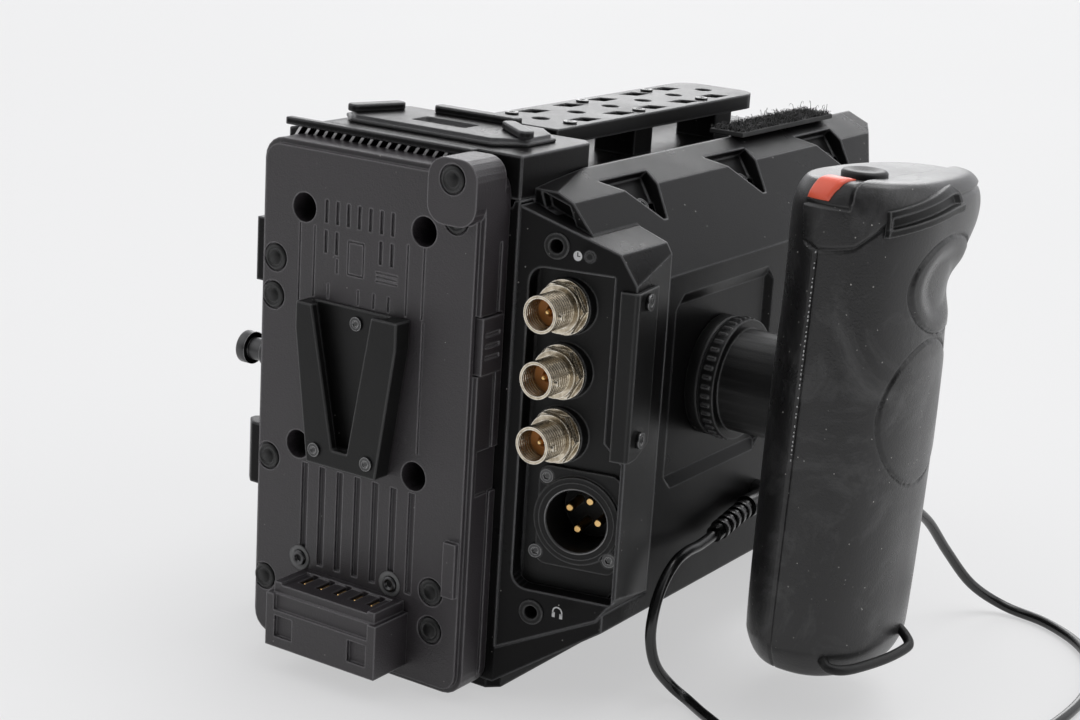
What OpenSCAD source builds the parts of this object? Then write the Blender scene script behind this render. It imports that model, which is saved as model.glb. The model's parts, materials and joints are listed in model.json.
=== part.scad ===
// Digital cinema camera with a battery plate, a connector block and a side grip.
// The lens looks along +Y, the grip is on the +X side, and Z is up.
// The origin is the mouth of the main tripod hole, in the plane that the camera stands on.

/* [Body] */
// Length of the body from its rear face to its front face
body_len = 184; // [176:1:200]
// Distance from the tripod hole back to the rear face
rear_setback = 83; // [81:0.5:86]
// Reach of the right side wall from the lens axis
right_reach = 57; // [56:0.5:58]
// Reach of the left side wall from the lens axis
left_reach = 50; // [49:0.5:54]
// Wall thickness of the casting
wall = 3; // [2.5:0.25:3.5]
// Height of the underside above the table
base_lift = 4; // [3.5:0.5:5]
// Half width of the flat underside
belly_half = 28; // [26:1:31]
// Height at which the lower slopes reach the side walls
belly_top = 24; // [22:1:26]
// Height at which the side walls end
side_top = 115; // [113:1:117]
// Half width of the body at the crease under the shoulders
crease_half = 40; // [39:0.5:42]
// Height of the crease
crease_top = 134.5; // [133.5:0.5:135.5]
// Half width between the top edges of the shoulders
ridge_half = 29; // [28.5:0.5:30.5]
// Height of the shoulders' top edges
ridge_top = 139.3; // [138.5:0.1:140.5]
// Height of the roof between the shoulders
roof_top = 132; // [130:0.5:133]
// Half width of the nose at the front
nose_half = 36; // [35:0.5:40]
// Length over which the sides taper to the nose
nose_len = 38; // [34:1:42]
// Thickness of the front plate
front_t = 6; // [5:0.5:7]

/* [Lens mount] */
// Height of the lens axis
lens_z = 70; // [68:0.5:72]
// Outer radius of the mount ring
mount_r = 32; // [31:0.5:33.5]
// Radius of the lens throat
throat_r = 27; // [25.5:0.5:27.5]
// Height of the mount ring on the front plate
mount_t = 7; // [5:0.5:9]
// Distance from the mount's face back to the sensor
flange_depth = 44; // [42:0.5:48]
// Radius of the circle of mount screws
mount_screw_pcr = 29.6; // [29.2:0.1:29.8]
// Radius of the lens release button
release_r = 3.6; // [3:0.2:4]
// Travel of the lens release button
release_travel = 2; // [1:0.5:2.5]

/* [Connector block] */
// Distance from the lens axis to the inner edge of the connector block
block_x = 28.3; // [28:0.1:29]
// Width of the turned connector face
face_w = 32.5; // [31.5:0.1:33]
// Turn of the connector face towards the side
face_turn = 12; // [10:0.5:13]
// Height of the foot of the connector block at its inner edge
block_foot = 14; // [13:0.5:16]
// Depth of the recess around the connectors
recess_d = 5; // [4.5:0.25:5.5]
// Outer radius of a video jack's barrel
bnc_r = 4.85; // [4.6:0.05:5]
// Bore radius of a video jack's barrel
bnc_bore_r = 4.05; // [3.8:0.05:4.2]
// Length of a video jack's barrel behind its collar
bnc_len = 8; // [7:0.5:9]
// Pitch of the three video jacks
bnc_pitch = 17; // [16:0.25:18]
// Height of the lowest video jack
bnc_low = 74; // [73:0.5:76]
// Outer radius of the power socket's ring
xlr_r = 11.8; // [11.4:0.1:12]
// Bore radius of the power socket
xlr_bore_r = 8.4; // [8:0.1:8.8]
// Height of the power socket
xlr_z = 52; // [51.5:0.25:53]
// Bore radius of the two small audio jacks
jack_r = 1.8; // [1.5:0.1:2]

/* [Battery plate] */
// Width of the battery plate
plate_w = 71.5; // [69:0.5:73]
// Height of the battery plate
plate_h = 139.5; // [138:0.5:141]
// Thickness of the battery plate
plate_t = 12; // [11:0.5:13]
// Distance of the plate's middle from the lens axis, towards the left
plate_shift = 10.2; // [9:0.2:11]
// Height of the plate's lower edge
plate_z = 2; // [1.5:0.5:3]
// Distance across between the four through holes
hole_span_x = 39; // [38:0.5:40]
// Distance in height between the four through holes
hole_span_z = 64.8; // [64:0.2:66]
// Radius of the four through holes
hole_r = 3.9; // [3.5:0.1:4.1]
// Width of the locking wedge at its top
vee_top_w = 33; // [32:0.5:34]
// Width of the locking wedge at its foot
vee_foot_w = 23; // [22:0.5:24]
// Height of the locking wedge
vee_h = 43; // [42:0.5:44]
// How far the locking wedge stands out of the plate
vee_t = 6; // [5.5:0.25:6.5]
// Width of the contact block
contact_w = 37; // [35:0.5:39]
// How far the contact block stands out of the plate
contact_t = 14; // [13:0.5:15]
// Height of the contact block
contact_h = 18; // [17:0.5:19]
// Travel of the battery release button
battery_travel = 2; // [1:0.25:2.5]

/* [Deck and rail] */
// Height of the rear deck's top
deck_top = 145.3; // [145:0.1:146]
// Length of the rear deck
deck_len = 34; // [33:0.5:35]
// Reach of the rear deck to the left of the lens axis
deck_left = 47; // [45:0.5:48]
// Thickness of the trim plate on the deck
trim_t = 2; // [1.5:0.1:2.5]
// Width of the top rail
rail_w = 27; // [26:0.5:28]
// Length of the top rail
rail_len = 113; // [110:1:116]
// Thickness of the top rail
rail_t = 4.5; // [4:0.25:5]
// Height of the top rail's upper face
rail_top = 146; // [145.5:0.25:147]
// Pitch of the tapped holes in the rail
rail_pitch = 18; // [17.5:0.25:18.5]
// Radius of the tapped holes in the rail
rail_hole_r = 2.55; // [2.1:0.05:3]

/* [Base] */
// Length of the base plate
base_len = 150; // [146:1:152]
// Radius of the main tripod hole, for a 3/8 inch screw
tripod_r = 4.2; // [4:0.05:4.6]
// Radius of the second tripod hole, for a 1/4 inch screw
tripod_small_r = 2.65; // [2.5:0.05:3]
// Distance between the two tripod holes
tripod_gap = 25; // [22:0.5:27]

/* [Grip] */
// Distance from the tripod hole back to the grip's axis
grip_back = 24; // [23:0.5:25]
// Height of the grip's axis
grip_z = 83; // [82:0.5:84]
// Radius of the toothed discs between body and grip
rosette_r = 16.5; // [16:0.25:17.5]
// Radius of the grip's bolt
bolt_r = 3; // [2.5:0.1:3.5]
// Distance from the lens axis to the middle of the grip
grip_x = 95; // [94:0.5:97]
// Half width of the grip from side to side
grip_a = 19.2; // [18.6:0.2:20]
// Half depth of the grip from back to front
grip_b = 27.5; // [27:0.5:28.5]
// Length of the grip below its axis
grip_drop = 70; // [69:0.5:71]
// Length of the grip above its axis
grip_rise = 60; // [59.5:0.25:61]
// Forward lean of the grip
grip_lean = 3; // [0:0.5:5]
// Wall thickness of the grip's shells
grip_wall = 2.4; // [2:0.2:2.8]
// Travel of the record button
record_travel = 1.2; // [0.8:0.1:1.4]

/* [Monitor] */
// Thickness of the fold-out monitor
door_t = 11; // [10:0.5:12]
// Length of the fold-out monitor behind its hinge
door_len = 131; // [128:1:132]
// Height of the fold-out monitor
door_h = 86; // [82:1:88]
// Radius of the monitor's hinge pin
hinge_pin_r = 1.5; // [1.25:0.25:2]

/* [Lead] */
// Radius of the grip's lead
lead_r = 1.5; // [1.4:0.05:1.6]

/* [Hidden] */
$fn = 48;

black = [0.06, 0.06, 0.065];
charcoal = [0.12, 0.12, 0.14];
soft_black = [0.03, 0.03, 0.03];
nickel = [0.75, 0.73, 0.7];
steel = [0.5, 0.5, 0.52];
gold = [0.85, 0.62, 0.2];
tan_core = [0.7, 0.55, 0.38];
board_green = [0.05, 0.25, 0.12];
signal_red = [0.8, 0.1, 0.05];
glass_tint = [0.25, 0.2, 0.4];

// One overrun serves every cut
over = 1;
// Space left round pieces that move
gap = 0.3;
// Space left between a shaft or screw and its hole
fit = 0.05;
arc_steps = 5;

rear_y = -rear_setback;
front_y = rear_y + body_len;
chassis_front = front_y - front_t;
plate_rear = rear_y - plate_t;

// Draws an outline in X and Z and pulls it along Y
module along_y(start, len) {
    translate([0, start + len, 0]) rotate([90, 0, 0]) linear_extrude(len) children();
}
// Draws an outline in Y and Z and pulls it along X
module along_x(start, len) {
    translate([start, 0, 0]) rotate([90, 0, 90]) linear_extrude(len) children();
}
// A round bar along Y
module bar_y(start, len, r) {
    translate([0, start + len, 0]) rotate([90, 0, 0]) cylinder(h = len, r = r);
}
// A round bar along X
module bar_x(start, len, r) {
    translate([start, 0, 0]) rotate([0, 90, 0]) cylinder(h = len, r = r);
}
function corner(cx, cy, r, from) =
    [for (i = [0:arc_steps]) [cx + r * cos(from + 90 * i / arc_steps),
                              cy + r * sin(from + 90 * i / arc_steps)]];
// Outline of a rectangle with round corners about the origin
function round_rect(w, h, r) = concat(
    corner(w / 2 - r, h / 2 - r, r, 0), corner(r - w / 2, h / 2 - r, r, 90),
    corner(r - w / 2, r - h / 2, r, 180), corner(w / 2 - r, r - h / 2, r, 270));
// Outline of a rectangle with cut corners about the origin
function cut_rect(w, h, c) = [
    [w / 2, h / 2 - c], [w / 2 - c, h / 2], [c - w / 2, h / 2], [-w / 2, h / 2 - c],
    [-w / 2, c - h / 2], [c - w / 2, -h / 2], [w / 2 - c, -h / 2], [w / 2, c - h / 2]];
// A plate of width w and depth d between heights low and top, with cut corners
module slab(cx, cy, low, w, d, h, c) {
    translate([cx, cy, low]) linear_extrude(h) polygon(cut_rect(w, d, c));
}
// A screw head with a six-sided socket, standing on XY and looking up
module screw_head(r, h) {
    difference() {
        cylinder(h = h, r = r);
        translate([0, 0, h / 2]) cylinder(h = h, r = r * 0.5, $fn = 6);
    }
}
screw_r = 2.2;
screw_head_t = 1.2;
small_screw_r = 1.9;

// Body casting
ridge_lip = 3;
rear_corner = 9;
left_nose_len = 36;
shoulder_setback = 6.4;
shoulder_drop = 2.8;
shoulder_drop_len = 28.6;
block_len = 28;
// Outline of the body seen along Y, set in by t
function body_section(t) = [
    [belly_half - t / 2, base_lift + t], [right_reach - t, belly_top + t / 2],
    [right_reach - t, side_top - t / 2], [crease_half - t, crease_top - t],
    [ridge_half - t, ridge_top - t], [ridge_half - ridge_lip - t, roof_top - t],
    [t + ridge_lip - ridge_half, roof_top - t], [t - ridge_half, ridge_top - t],
    [t - crease_half, crease_top - t], [t - left_reach, side_top - t / 2],
    [t - left_reach, belly_top + t / 2], [t / 2 - belly_half, base_lift + t]];
// Outline of the hollow inside it
function hollow_section(t) = [
    [belly_half - t / 2, base_lift + t], [right_reach - t, belly_top + t / 2],
    [right_reach - t, side_top - t / 2], [crease_half, roof_top - t],
    [-crease_half, roof_top - t], [t - left_reach, side_top - t / 2],
    [t - left_reach, belly_top + t / 2], [t / 2 - belly_half, base_lift + t]];
// Outline of the body seen from above, set in by t
function body_plan(t) = [
    [rear_corner + t - left_reach, rear_y + t], [right_reach - t, rear_y + t],
    [right_reach - t, front_y - nose_len], [nose_half - t, front_y],
    [t - nose_half, front_y], [t - left_reach, front_y - left_nose_len],
    [t - left_reach, rear_y + rear_corner + t]];
module body_prism() {
    intersection() {
        along_y(rear_y, body_len) polygon(body_section(0));
        linear_extrude(deck_top) polygon(body_plan(0));
    }
}

// Connector block: its face turns about its inner edge
fold_x = block_x + face_w * cos(face_turn);
fold_y = rear_y + face_w * sin(face_turn);
block_front = rear_y + block_len;
block_side_foot = belly_top + 3.3 * wall;
block_low = belly_top + wall;
block_top = crease_top - wall / 2;
block_fold_top = side_top + 3 * wall;
block_side_top = side_top + wall / 2;
block_cut = 1.6 * wall;
skin_t = 1.2;
function block_outline() = [
    [block_x, block_foot], [fold_x - block_cut, block_low], [fold_x, block_side_foot],
    [fold_x, block_side_top], [fold_x - block_cut, block_fold_top], [block_x, block_top]];
function block_hollow_outline(t) = [
    [block_x + t, block_foot + 1.4 * t], [fold_x - block_cut - t / 3, block_low + t],
    [fold_x - t / 3, block_side_foot + t], [fold_x - t / 3, block_side_top - t],
    [fold_x - block_cut - t / 3, block_fold_top - 1.2 * t], [block_x + t, block_top - 1.1 * t]];
// Distance back of a plane that lies d behind the connector face
function face_line(x, d) = rear_y + (x - block_x) * tan(face_turn) + d / cos(face_turn);
function facet_line(y) = fold_x - (fold_x - right_reach) * (y - fold_y) / (block_front - fold_y);
module block_envelope(extra) {
    intersection() {
        along_y(rear_y - extra, block_len + extra) polygon(block_outline());
        linear_extrude(deck_top) polygon([
            [block_x, rear_y - extra], [fold_x, fold_y - extra], [fold_x, fold_y],
            [right_reach + extra, block_front], [block_x, block_front]]);
    }
}
// Places children on the connector face: X runs along it, -Y points out of it
module on_face(s, z) {
    translate([block_x, rear_y, z]) rotate([0, 0, face_turn]) translate([s, 0, 0]) children();
}

// Grip mount on the side wall
grip_y = -grip_back;
side_pocket_w = 58;
side_pocket_h = 57;
side_pocket_d = 1.6;
side_pocket_c = 8;
pocket_bevel = 5;
pocket_floor = right_reach - side_pocket_d;
side_boss_t = 9;
port_y = 3;
port_z = 42;
port_r = 3.2;

// Shoulder notches
notch_pitch = 54.7;
notch_first = 40.4;
notch_len = 24;
notch_h = 9.5;
notch_depth = 6;
notch_counts = 3;
shoulder_slope = atan((crease_top - side_top) / (right_reach - crease_half));
notch_screw_drop = 2.6;

window_w = 104;
window_h = 78;
window_y = -4;

deck_mid_y = rear_y + deck_len / 2;
deck_floor = roof_top + 2;

board_z = base_lift + 3.4 * wall;
board_t = 1.6;
board_w = 54;
board_len = 106;
board_y = -12;
post_r = 3.2;
post_x = 23;
post_y = 46;

module chassis() {
    color(black) difference() {
        union() {
            difference() {
                intersection() {
                    body_prism();
                    translate([-left_reach, rear_y, 0])
                        cube([left_reach + right_reach, chassis_front - rear_y, deck_top]);
                }
                intersection() {
                    along_y(rear_y + wall, body_len) polygon(hollow_section(wall));
                    linear_extrude(deck_top) polygon(body_plan(wall));
                }
            }
            // boss behind the grip mount
            intersection() {
                translate([0, grip_y, grip_z])
                    bar_x(right_reach - side_boss_t, side_boss_t - side_pocket_d / 2, rosette_r);
                body_prism();
            }
            // rear wall under the connector block
            intersection() {
                linear_extrude(block_side_foot) polygon([
                    [block_x, rear_y], [right_reach, face_line(right_reach, 0)],
                    [right_reach, face_line(right_reach, wall)], [block_x, rear_y + wall]]);
                body_prism();
            }
            // posts that carry the main board
            for (x = [-post_x, post_x]) for (y = [board_y - post_y, board_y + post_y])
                translate([x, y, base_lift]) cylinder(h = board_z - base_lift, r = post_r);
        }
        // space for the connector block, and the step behind the shoulder
        intersection() {
            translate([0, -over, 0]) block_envelope(over);
            translate([block_x, rear_y - 2 * over, 0]) cube([right_reach, block_len + 2 * over, deck_top]);
        }
        block_envelope(over);
        translate([block_x, rear_y - over, lens_z]) cube([right_reach, shoulder_setback + over, deck_top]);
        linear_extrude(lens_z) polygon([
            [block_x, rear_y - over], [right_reach + over, rear_y - over],
            [right_reach + over, face_line(right_reach + over, 0)], [block_x, rear_y]]);
        along_x(block_x, right_reach) polygon([
            [rear_y - over, ridge_top - shoulder_drop],
            [rear_y + shoulder_setback, ridge_top - shoulder_drop],
            [rear_y + shoulder_setback + shoulder_drop_len, ridge_top + over],
            [rear_y - over, ridge_top + over]]);
        // seat of the rear deck
        translate([-left_reach, rear_y - over, deck_floor])
            cube([left_reach + block_x, deck_len + over, deck_top]);
        // pocket round the grip mount, its bolt hole and the port for the lead
        translate([0, grip_y + gap, grip_z - gap]) side_pocket();
        translate([0, grip_y, grip_z]) bar_x(right_reach - side_boss_t - over, 2 * side_boss_t, bolt_r + fit);
        translate([0, port_y, port_z]) bar_x(right_reach - 2 * wall, 3 * wall, port_r);
        // window behind the left cover
        translate([0, window_y, lens_z]) along_x(-left_reach - over, wall + 2 * over)
            polygon(round_rect(window_w, window_h, rear_corner));
        // notches in both shoulders
        for (i = [0:notch_counts - 1]) for (side = [0, 1]) mirror([side, 0, 0])
            translate([crease_half, rear_y + notch_first + i * notch_pitch, crease_top])
                notch_cut();
        // air pocket in the rear end of the shoulder
        along_y(rear_y, shoulder_setback + wall) polygon([
            [ridge_half + wall, block_top - wall / 3], [crease_half + wall / 2, block_top - 1.6 * wall],
            [crease_half - wall / 3, crease_top - wall / 3], [ridge_half + wall / 2, crease_top + wall / 2]]);
        // tapped holes in the underside for the base plate's screws
        base_screw_places() cylinder(h = 4 * wall, r = base_screw_r + fit);
    }
}
// Pocket round the grip mount: its walls slope, and its corners are cut
module side_pocket() {
    top = right_reach + over;
    w = side_pocket_w / 2;
    h = side_pocket_h / 2;
    intersection() {
        along_x(pocket_floor, top) polygon(cut_rect(side_pocket_w, side_pocket_h, side_pocket_c));
        linear_extrude(2 * side_pocket_h, center = true) polygon([
            [pocket_floor, pocket_bevel - w], [top, -w], [top, w], [pocket_floor, w - pocket_bevel]]);
        along_y(-side_pocket_w, 2 * side_pocket_w) polygon([
            [pocket_floor, pocket_bevel - h], [top, -h], [top, h], [pocket_floor, h - pocket_bevel]]);
    }
}
// A three-cornered notch that opens upward and outward
module notch_cut() {
    translate([notch_depth / 3, 0, 0]) rotate([0, 90 - shoulder_slope, 0])
        translate([-over, 0, -notch_depth]) linear_extrude(3 * notch_depth)
            polygon([[-notch_depth, -notch_len * 0.6], [notch_h, 0], [notch_h, notch_len * 0.08],
                     [-notch_depth, notch_len * 0.4]]);
}

module left_cover() {
    cover_t = door_gap_x - left_reach - gap;
    color(black) difference() {
        translate([0, window_y, lens_z]) along_x(-left_reach - cover_t, cover_t)
            polygon(round_rect(window_w + 2 * wall, window_h + 2 * wall, rear_corner));
        translate([0, card_y, card_z]) along_x(-left_reach - cover_t - over, cover_t + 2 * over)
            polygon(round_rect(card_len - wall, card_h - wall, wall));
    }
}

// Front plate with the lens mount
cheek_w = 15;
module front_plate() {
    color(black) difference() {
        intersection() {
            body_prism();
            translate([-left_reach, chassis_front, 0]) cube([2 * left_reach, front_t + over, deck_top]);
        }
        translate([0, 0, lens_z]) bar_y(chassis_front - over, front_t + 2 * over, throat_r + wall / 2);
        translate([-release_x, 0, release_z])
            bar_y(chassis_front - over, front_t + 2 * over, release_r + gap);
        // three rows of small air holes above the mount
        for (i = [-3:3]) translate([i * cheek_w / 3, 0, vent_row_z])
            bar_y(chassis_front - over, front_t + 2 * over, wall / 3);
        for (i = [0:3]) rotate_mount(45 + 90 * i)
            bar_y(front_y - 2 * wall, 3 * wall, mount_thread_r + fit);
    }
}
vent_row_z = lens_z + mount_r + 3.5 * wall;
release_x = 26;
release_z = lens_z - mount_r + 1.2 * wall;
mount_thread_r = 1;
module rotate_mount(a) {
    translate([mount_screw_pcr * cos(a), 0, lens_z + mount_screw_pcr * sin(a)]) children();
}

lug_t = 1.6;
lug_in = 1.8;
module mount_ring() {
    color(nickel) difference() {
        union() {
            translate([0, 0, lens_z]) bar_y(front_y, mount_t - lug_t, mount_r);
            translate([0, 0, lens_z]) bar_y(front_y, mount_t, mount_r - wall / 3);
        }
        translate([0, 0, lens_z]) bar_y(front_y - over, mount_t + 2 * over, throat_r);
        for (i = [0:3]) rotate_mount(45 + 90 * i) {
            bar_y(front_y - over, mount_t + 2 * over, mount_thread_r + fit);
            bar_y(front_y + mount_t - lug_t, lug_t + over, mount_head_r + fit);
        }
    }
    // three bayonet lugs inside the throat
    color(nickel) intersection() {
        difference() {
            translate([0, 0, lens_z]) bar_y(front_y + mount_t / 2, lug_t, throat_r + wall / 3);
            translate([0, 0, lens_z]) bar_y(front_y, mount_t, throat_r - lug_in);
        }
        union() for (i = [0:2]) translate([0, 0, lens_z]) rotate([0, 120 * i, 0])
            translate([-mount_r / 4, front_y, 0]) cube([mount_r / 2, mount_t, mount_r]);
    }
}
mount_head_r = 1.8;
module mount_screws() {
    color(steel) for (i = [0:3]) rotate_mount(45 + 90 * i) {
        bar_y(front_y - wall, mount_t - lug_t + wall, mount_thread_r);
        translate([0, front_y + mount_t - lug_t, 0]) rotate([-90, 0, 0])
            screw_head(mount_head_r, lug_t * 0.8);
    }
}

sensor_y = front_y + mount_t - flange_depth;
tube_r = throat_r + wall / 2;
flange_r = mount_r + wall / 3;
module throat_tube() {
    color(soft_black) difference() {
        union() {
            translate([0, 0, lens_z]) bar_y(sensor_y + wall, chassis_front - sensor_y - wall, tube_r + wall);
            translate([0, 0, lens_z]) bar_y(chassis_front - wall, wall, flange_r);
        }
        translate([0, 0, lens_z]) bar_y(sensor_y, front_y - sensor_y, tube_r);
    }
}
sensor_w = 36;
sensor_h = 26;
module sensor_block() {
    color(steel) difference() {
        translate([0, 0, lens_z]) along_y(sensor_y - wall, 2 * wall)
            polygon(cut_rect(2 * tube_r + 3 * wall, 2 * tube_r + 3 * wall, 2 * rear_corner));
        translate([0, 0, lens_z]) along_y(sensor_y, wall + over)
            polygon(round_rect(sensor_w + 2 * fit, sensor_h + 2 * fit, wall / 2));
    }
}
module sensor_glass() {
    color(glass_tint) translate([0, 0, lens_z]) along_y(sensor_y, wall / 2)
        polygon(round_rect(sensor_w, sensor_h, wall / 2));
}

// Electronics
chip_x = 15;
chip_y = [-8, 22];
module main_board() {
    color(board_green) difference() {
        union() {
            slab(0, board_y, board_z, board_w, board_len, board_t, wall);
            for (y = chip_y) slab(chip_x, y, board_z + board_t, board_w / 4, board_w / 4, board_t, wall / 3);
        }
        for (x = [-post_x, post_x]) for (y = [board_y - post_y, board_y + post_y])
            translate([x, y, board_z - over]) cylinder(h = board_t + 2 * over, r = post_r / 2);
    }
}
sink_w = 50;
sink_len = 56;
sink_h = 16;
sink_y = -48;
sink_x = -5;
sink_fins = 9;
sink_left = sink_x - sink_w / 2;
module heat_sink() {
    low = board_z + board_t;
    color(steel) {
        translate([sink_x - sink_w / 2, sink_y - sink_len / 2, low]) cube([sink_w, sink_len, wall]);
        for (i = [0:sink_fins - 1])
            translate([sink_left + i * (sink_w - wall / 2) / (sink_fins - 1), sink_y - sink_len / 2, low])
                cube([wall / 2, sink_len, sink_h]);
    }
}
fan_z = board_z + board_t + sink_h;
fan_h = 12;
fan_r = 22;
fan_hub_r = 9;
fan_blades = 7;
fan_pin_r = 1.5;
module fan_frame() {
    color(soft_black) difference() {
        slab(sink_x, sink_y, fan_z, sink_w, sink_w, fan_h, wall);
        translate([sink_x, sink_y, fan_z + wall]) cylinder(h = fan_h, r = fan_r + wall / 3);
        difference() {
            translate([sink_x, sink_y, fan_z - over]) cylinder(h = wall + 2 * over, r = fan_r);
            translate([sink_x, sink_y, fan_z - over]) cylinder(h = wall + 2 * over, r = fan_hub_r);
            for (a = [45, 135]) translate([sink_x, sink_y, fan_z]) rotate([0, 0, a])
                translate([-fan_r - over, -wall / 2, -over])
                    cube([2 * fan_r + 2 * over, wall, wall + 2 * over]);
        }
    }
    color(steel) translate([sink_x, sink_y, fan_z + wall / 2]) cylinder(h = fan_h - wall, r = fan_pin_r);
}
module fan_rotor() {
    color(charcoal) translate([sink_x, sink_y, fan_z + wall + gap]) difference() {
        union() {
            cylinder(h = fan_h - 1.5 * wall, r = fan_hub_r);
            for (i = [0:fan_blades - 1]) rotate([0, 0, 360 * i / fan_blades])
                translate([0, 0, fan_h / 2 - wall]) rotate([35, 0, 0])
                    translate([fan_hub_r - over, -wall, -wall / 6])
                        cube([fan_r - fan_hub_r - wall / 3, 2 * wall, wall / 3]);
        }
        translate([0, 0, -over]) cylinder(h = fan_h, r = fan_pin_r + fit);
    }
}
card_y = 2;
card_z = 86;
card_len = 50;
card_h = 24;
card_depth = 34;
slot_h = 3.6;
module card_cage() {
    color(steel) difference() {
        translate([-left_reach, card_y - card_len / 2, card_z - card_h / 2])
            cube([card_depth, card_len, card_h]);
        for (side = [-1, 1])
            translate([
                -left_reach - over, card_y - card_len / 2 + wall, card_z + side * card_h / 5 - slot_h / 2])
                cube([card_depth - wall, card_len - 2 * wall, slot_h]);
    }
}

// Rear deck
deck_edge = 3;
deck_cut = 14;
module rear_deck() {
    color(black) difference() {
        intersection() {
            along_y(rear_y, deck_len) polygon([
                [block_x, deck_floor], [block_x, deck_top], [deck_cut - deck_left, deck_top],
                [-deck_left, deck_top - deck_edge], [-deck_left, deck_floor]]);
            linear_extrude(2 * deck_top) polygon([
                [block_x, rear_y], [block_x, rear_y + deck_len - deck_edge],
                [block_x - deck_edge, rear_y + deck_len], [deck_edge - deck_left, rear_y + deck_len],
                [-deck_left, rear_y + deck_len - deck_edge], [-deck_left, rear_y]]);
        }
        translate([-crease_half + wall, rear_y + wall, deck_floor - over])
            cube([
                crease_half + block_x - 2 * wall, deck_len - 2 * wall, deck_top - deck_floor - wall + over]);
    }
}
trim_mid_x = -7.5;
trim_w = 59;
trim_d = 26;
badge_w = 17;
badge_d = 7;
module deck_trim() {
    color(soft_black) difference() {
        union() {
            slab(trim_mid_x, rear_y + deck_len / 2 + 1, deck_top, trim_w, trim_d, trim_t / 2, trim_d / 4);
            slab(trim_mid_x, deck_mid_y + trim_t / 2, deck_top, trim_w - trim_t, trim_d - trim_t, trim_t, trim_d / 4);
        }
        slab(trim_mid_x, deck_mid_y - trim_t / 2, deck_top + trim_t / 2, badge_w, badge_d, trim_t, trim_t / 4);
    }
}
bar_d = 4;
bar_h = 2;
module deck_bars() {
    y = rear_y + deck_len / 2;
    z = deck_top + trim_t;
    color(soft_black) {
        slab(trim_mid_x + 2, y + trim_d / 2 - 2, z, badge_w * 1.6, bar_d, bar_h, bar_h / 2);
        translate([trim_mid_x - trim_w / 2 + 6, y, 0]) rotate([0, 0, 70])
            slab(0, 0, z, badge_w, bar_d, bar_h, bar_h / 2);
        translate([trim_mid_x + trim_w / 2 - 7, y, 0]) rotate([0, 0, 142])
            slab(0, 0, z, badge_w, bar_d, bar_h, bar_h / 2);
    }
}
comb_count = 17;
comb_t = 1.6;
comb_h = 3;
comb_out = 2;
comb_lean = 25;
module vent_comb() {
    from = -deck_left + deck_edge;
    step = (deck_left + ridge_half / 2) / comb_count;
    color(charcoal) for (i = [0:comb_count - 1])
        translate([from + i * step, rear_y - comb_out, (plate_z + plate_h + deck_top) / 2])
            rotate([0, comb_lean, 0])
            translate([-comb_t / 2, 0, -comb_h / 2]) cube([comb_t, comb_out, comb_h]);
}

// Top rail
rail_y = -45;
rail_foot_r = 5;
rail_foot_share = [0.08, 0.5, 0.92];
rail_holes = 6;
rail_first = 12;
rail_pocket_w = 5;
rail_pocket_len = 10;
module rail_feet() {
    for (s = rail_foot_share) translate([0, rail_y + s * rail_len, 0]) children();
}
module top_rail() {
    low = rail_top - rail_t;
    color(black) difference() {
        union() {
            translate([0, rail_y, low]) linear_extrude(rail_t) polygon(concat(
                [[rail_w / 2, 0]], corner(rail_w / 2 - rail_w / 4, rail_len - rail_w / 4, rail_w / 4, 0),
                corner(rail_w / 4 - rail_w / 2, rail_len - rail_w / 4, rail_w / 4, 90), [[-rail_w / 2, 0]]));
            rail_feet() translate([-rail_w / 4, -rail_foot_r, roof_top])
                cube([rail_w / 2, 2 * rail_foot_r, low - roof_top]);
        }
        for (i = [0:rail_holes - 1]) translate([0, rail_y + rail_first + i * rail_pitch, roof_top - over])
            cylinder(h = rail_top, r = rail_hole_r);
        // slanted pockets along both edges
        for (i = [0:rail_holes - 2]) for (side = [-1, 1])
            translate([
                side * (rail_w / 2 - rail_pocket_w), rail_y + rail_first + (i + 0.5) * rail_pitch, low - over])
                linear_extrude(rail_t + 2 * over) polygon([
                    [-rail_pocket_w / 2, -rail_pocket_len / 2], [rail_pocket_w / 2, -rail_pocket_len / 4],
                    [rail_pocket_w / 2, rail_pocket_len / 2], [-rail_pocket_w / 2, rail_pocket_len / 4]]);
    }
}
rail_screw_x = 9.6;
module rail_screws() {
    color(steel) for (i = [0:2]) for (side = [-1, 1])
        translate([side * rail_screw_x, rail_y + rail_first + 2 * i * rail_pitch, rail_top])
            screw_head(small_screw_r, screw_head_t / 2);
}
module shoulder_screws() {
    color(steel) for (i = [0:notch_counts - 1]) for (side = [0, 1]) mirror([side, 0, 0])
        translate([crease_half, rear_y + notch_first + i * notch_pitch, crease_top])
            translate([notch_depth / 3, 0, 0]) rotate([0, 90 - shoulder_slope, 0])
                translate([notch_screw_drop - over, 0, -notch_depth]) screw_head(small_screw_r, screw_head_t);
}
strip_w = 11;
strip_len = 58;
strip_t = 2.2;
strip_out = 4;
strip_back = 20;
module cable_strip() {
    color(soft_black) translate([ridge_half - strip_w + strip_out, front_y - strip_len - strip_back, ridge_top])
        cube([strip_w, strip_len, strip_t]);
}

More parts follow.
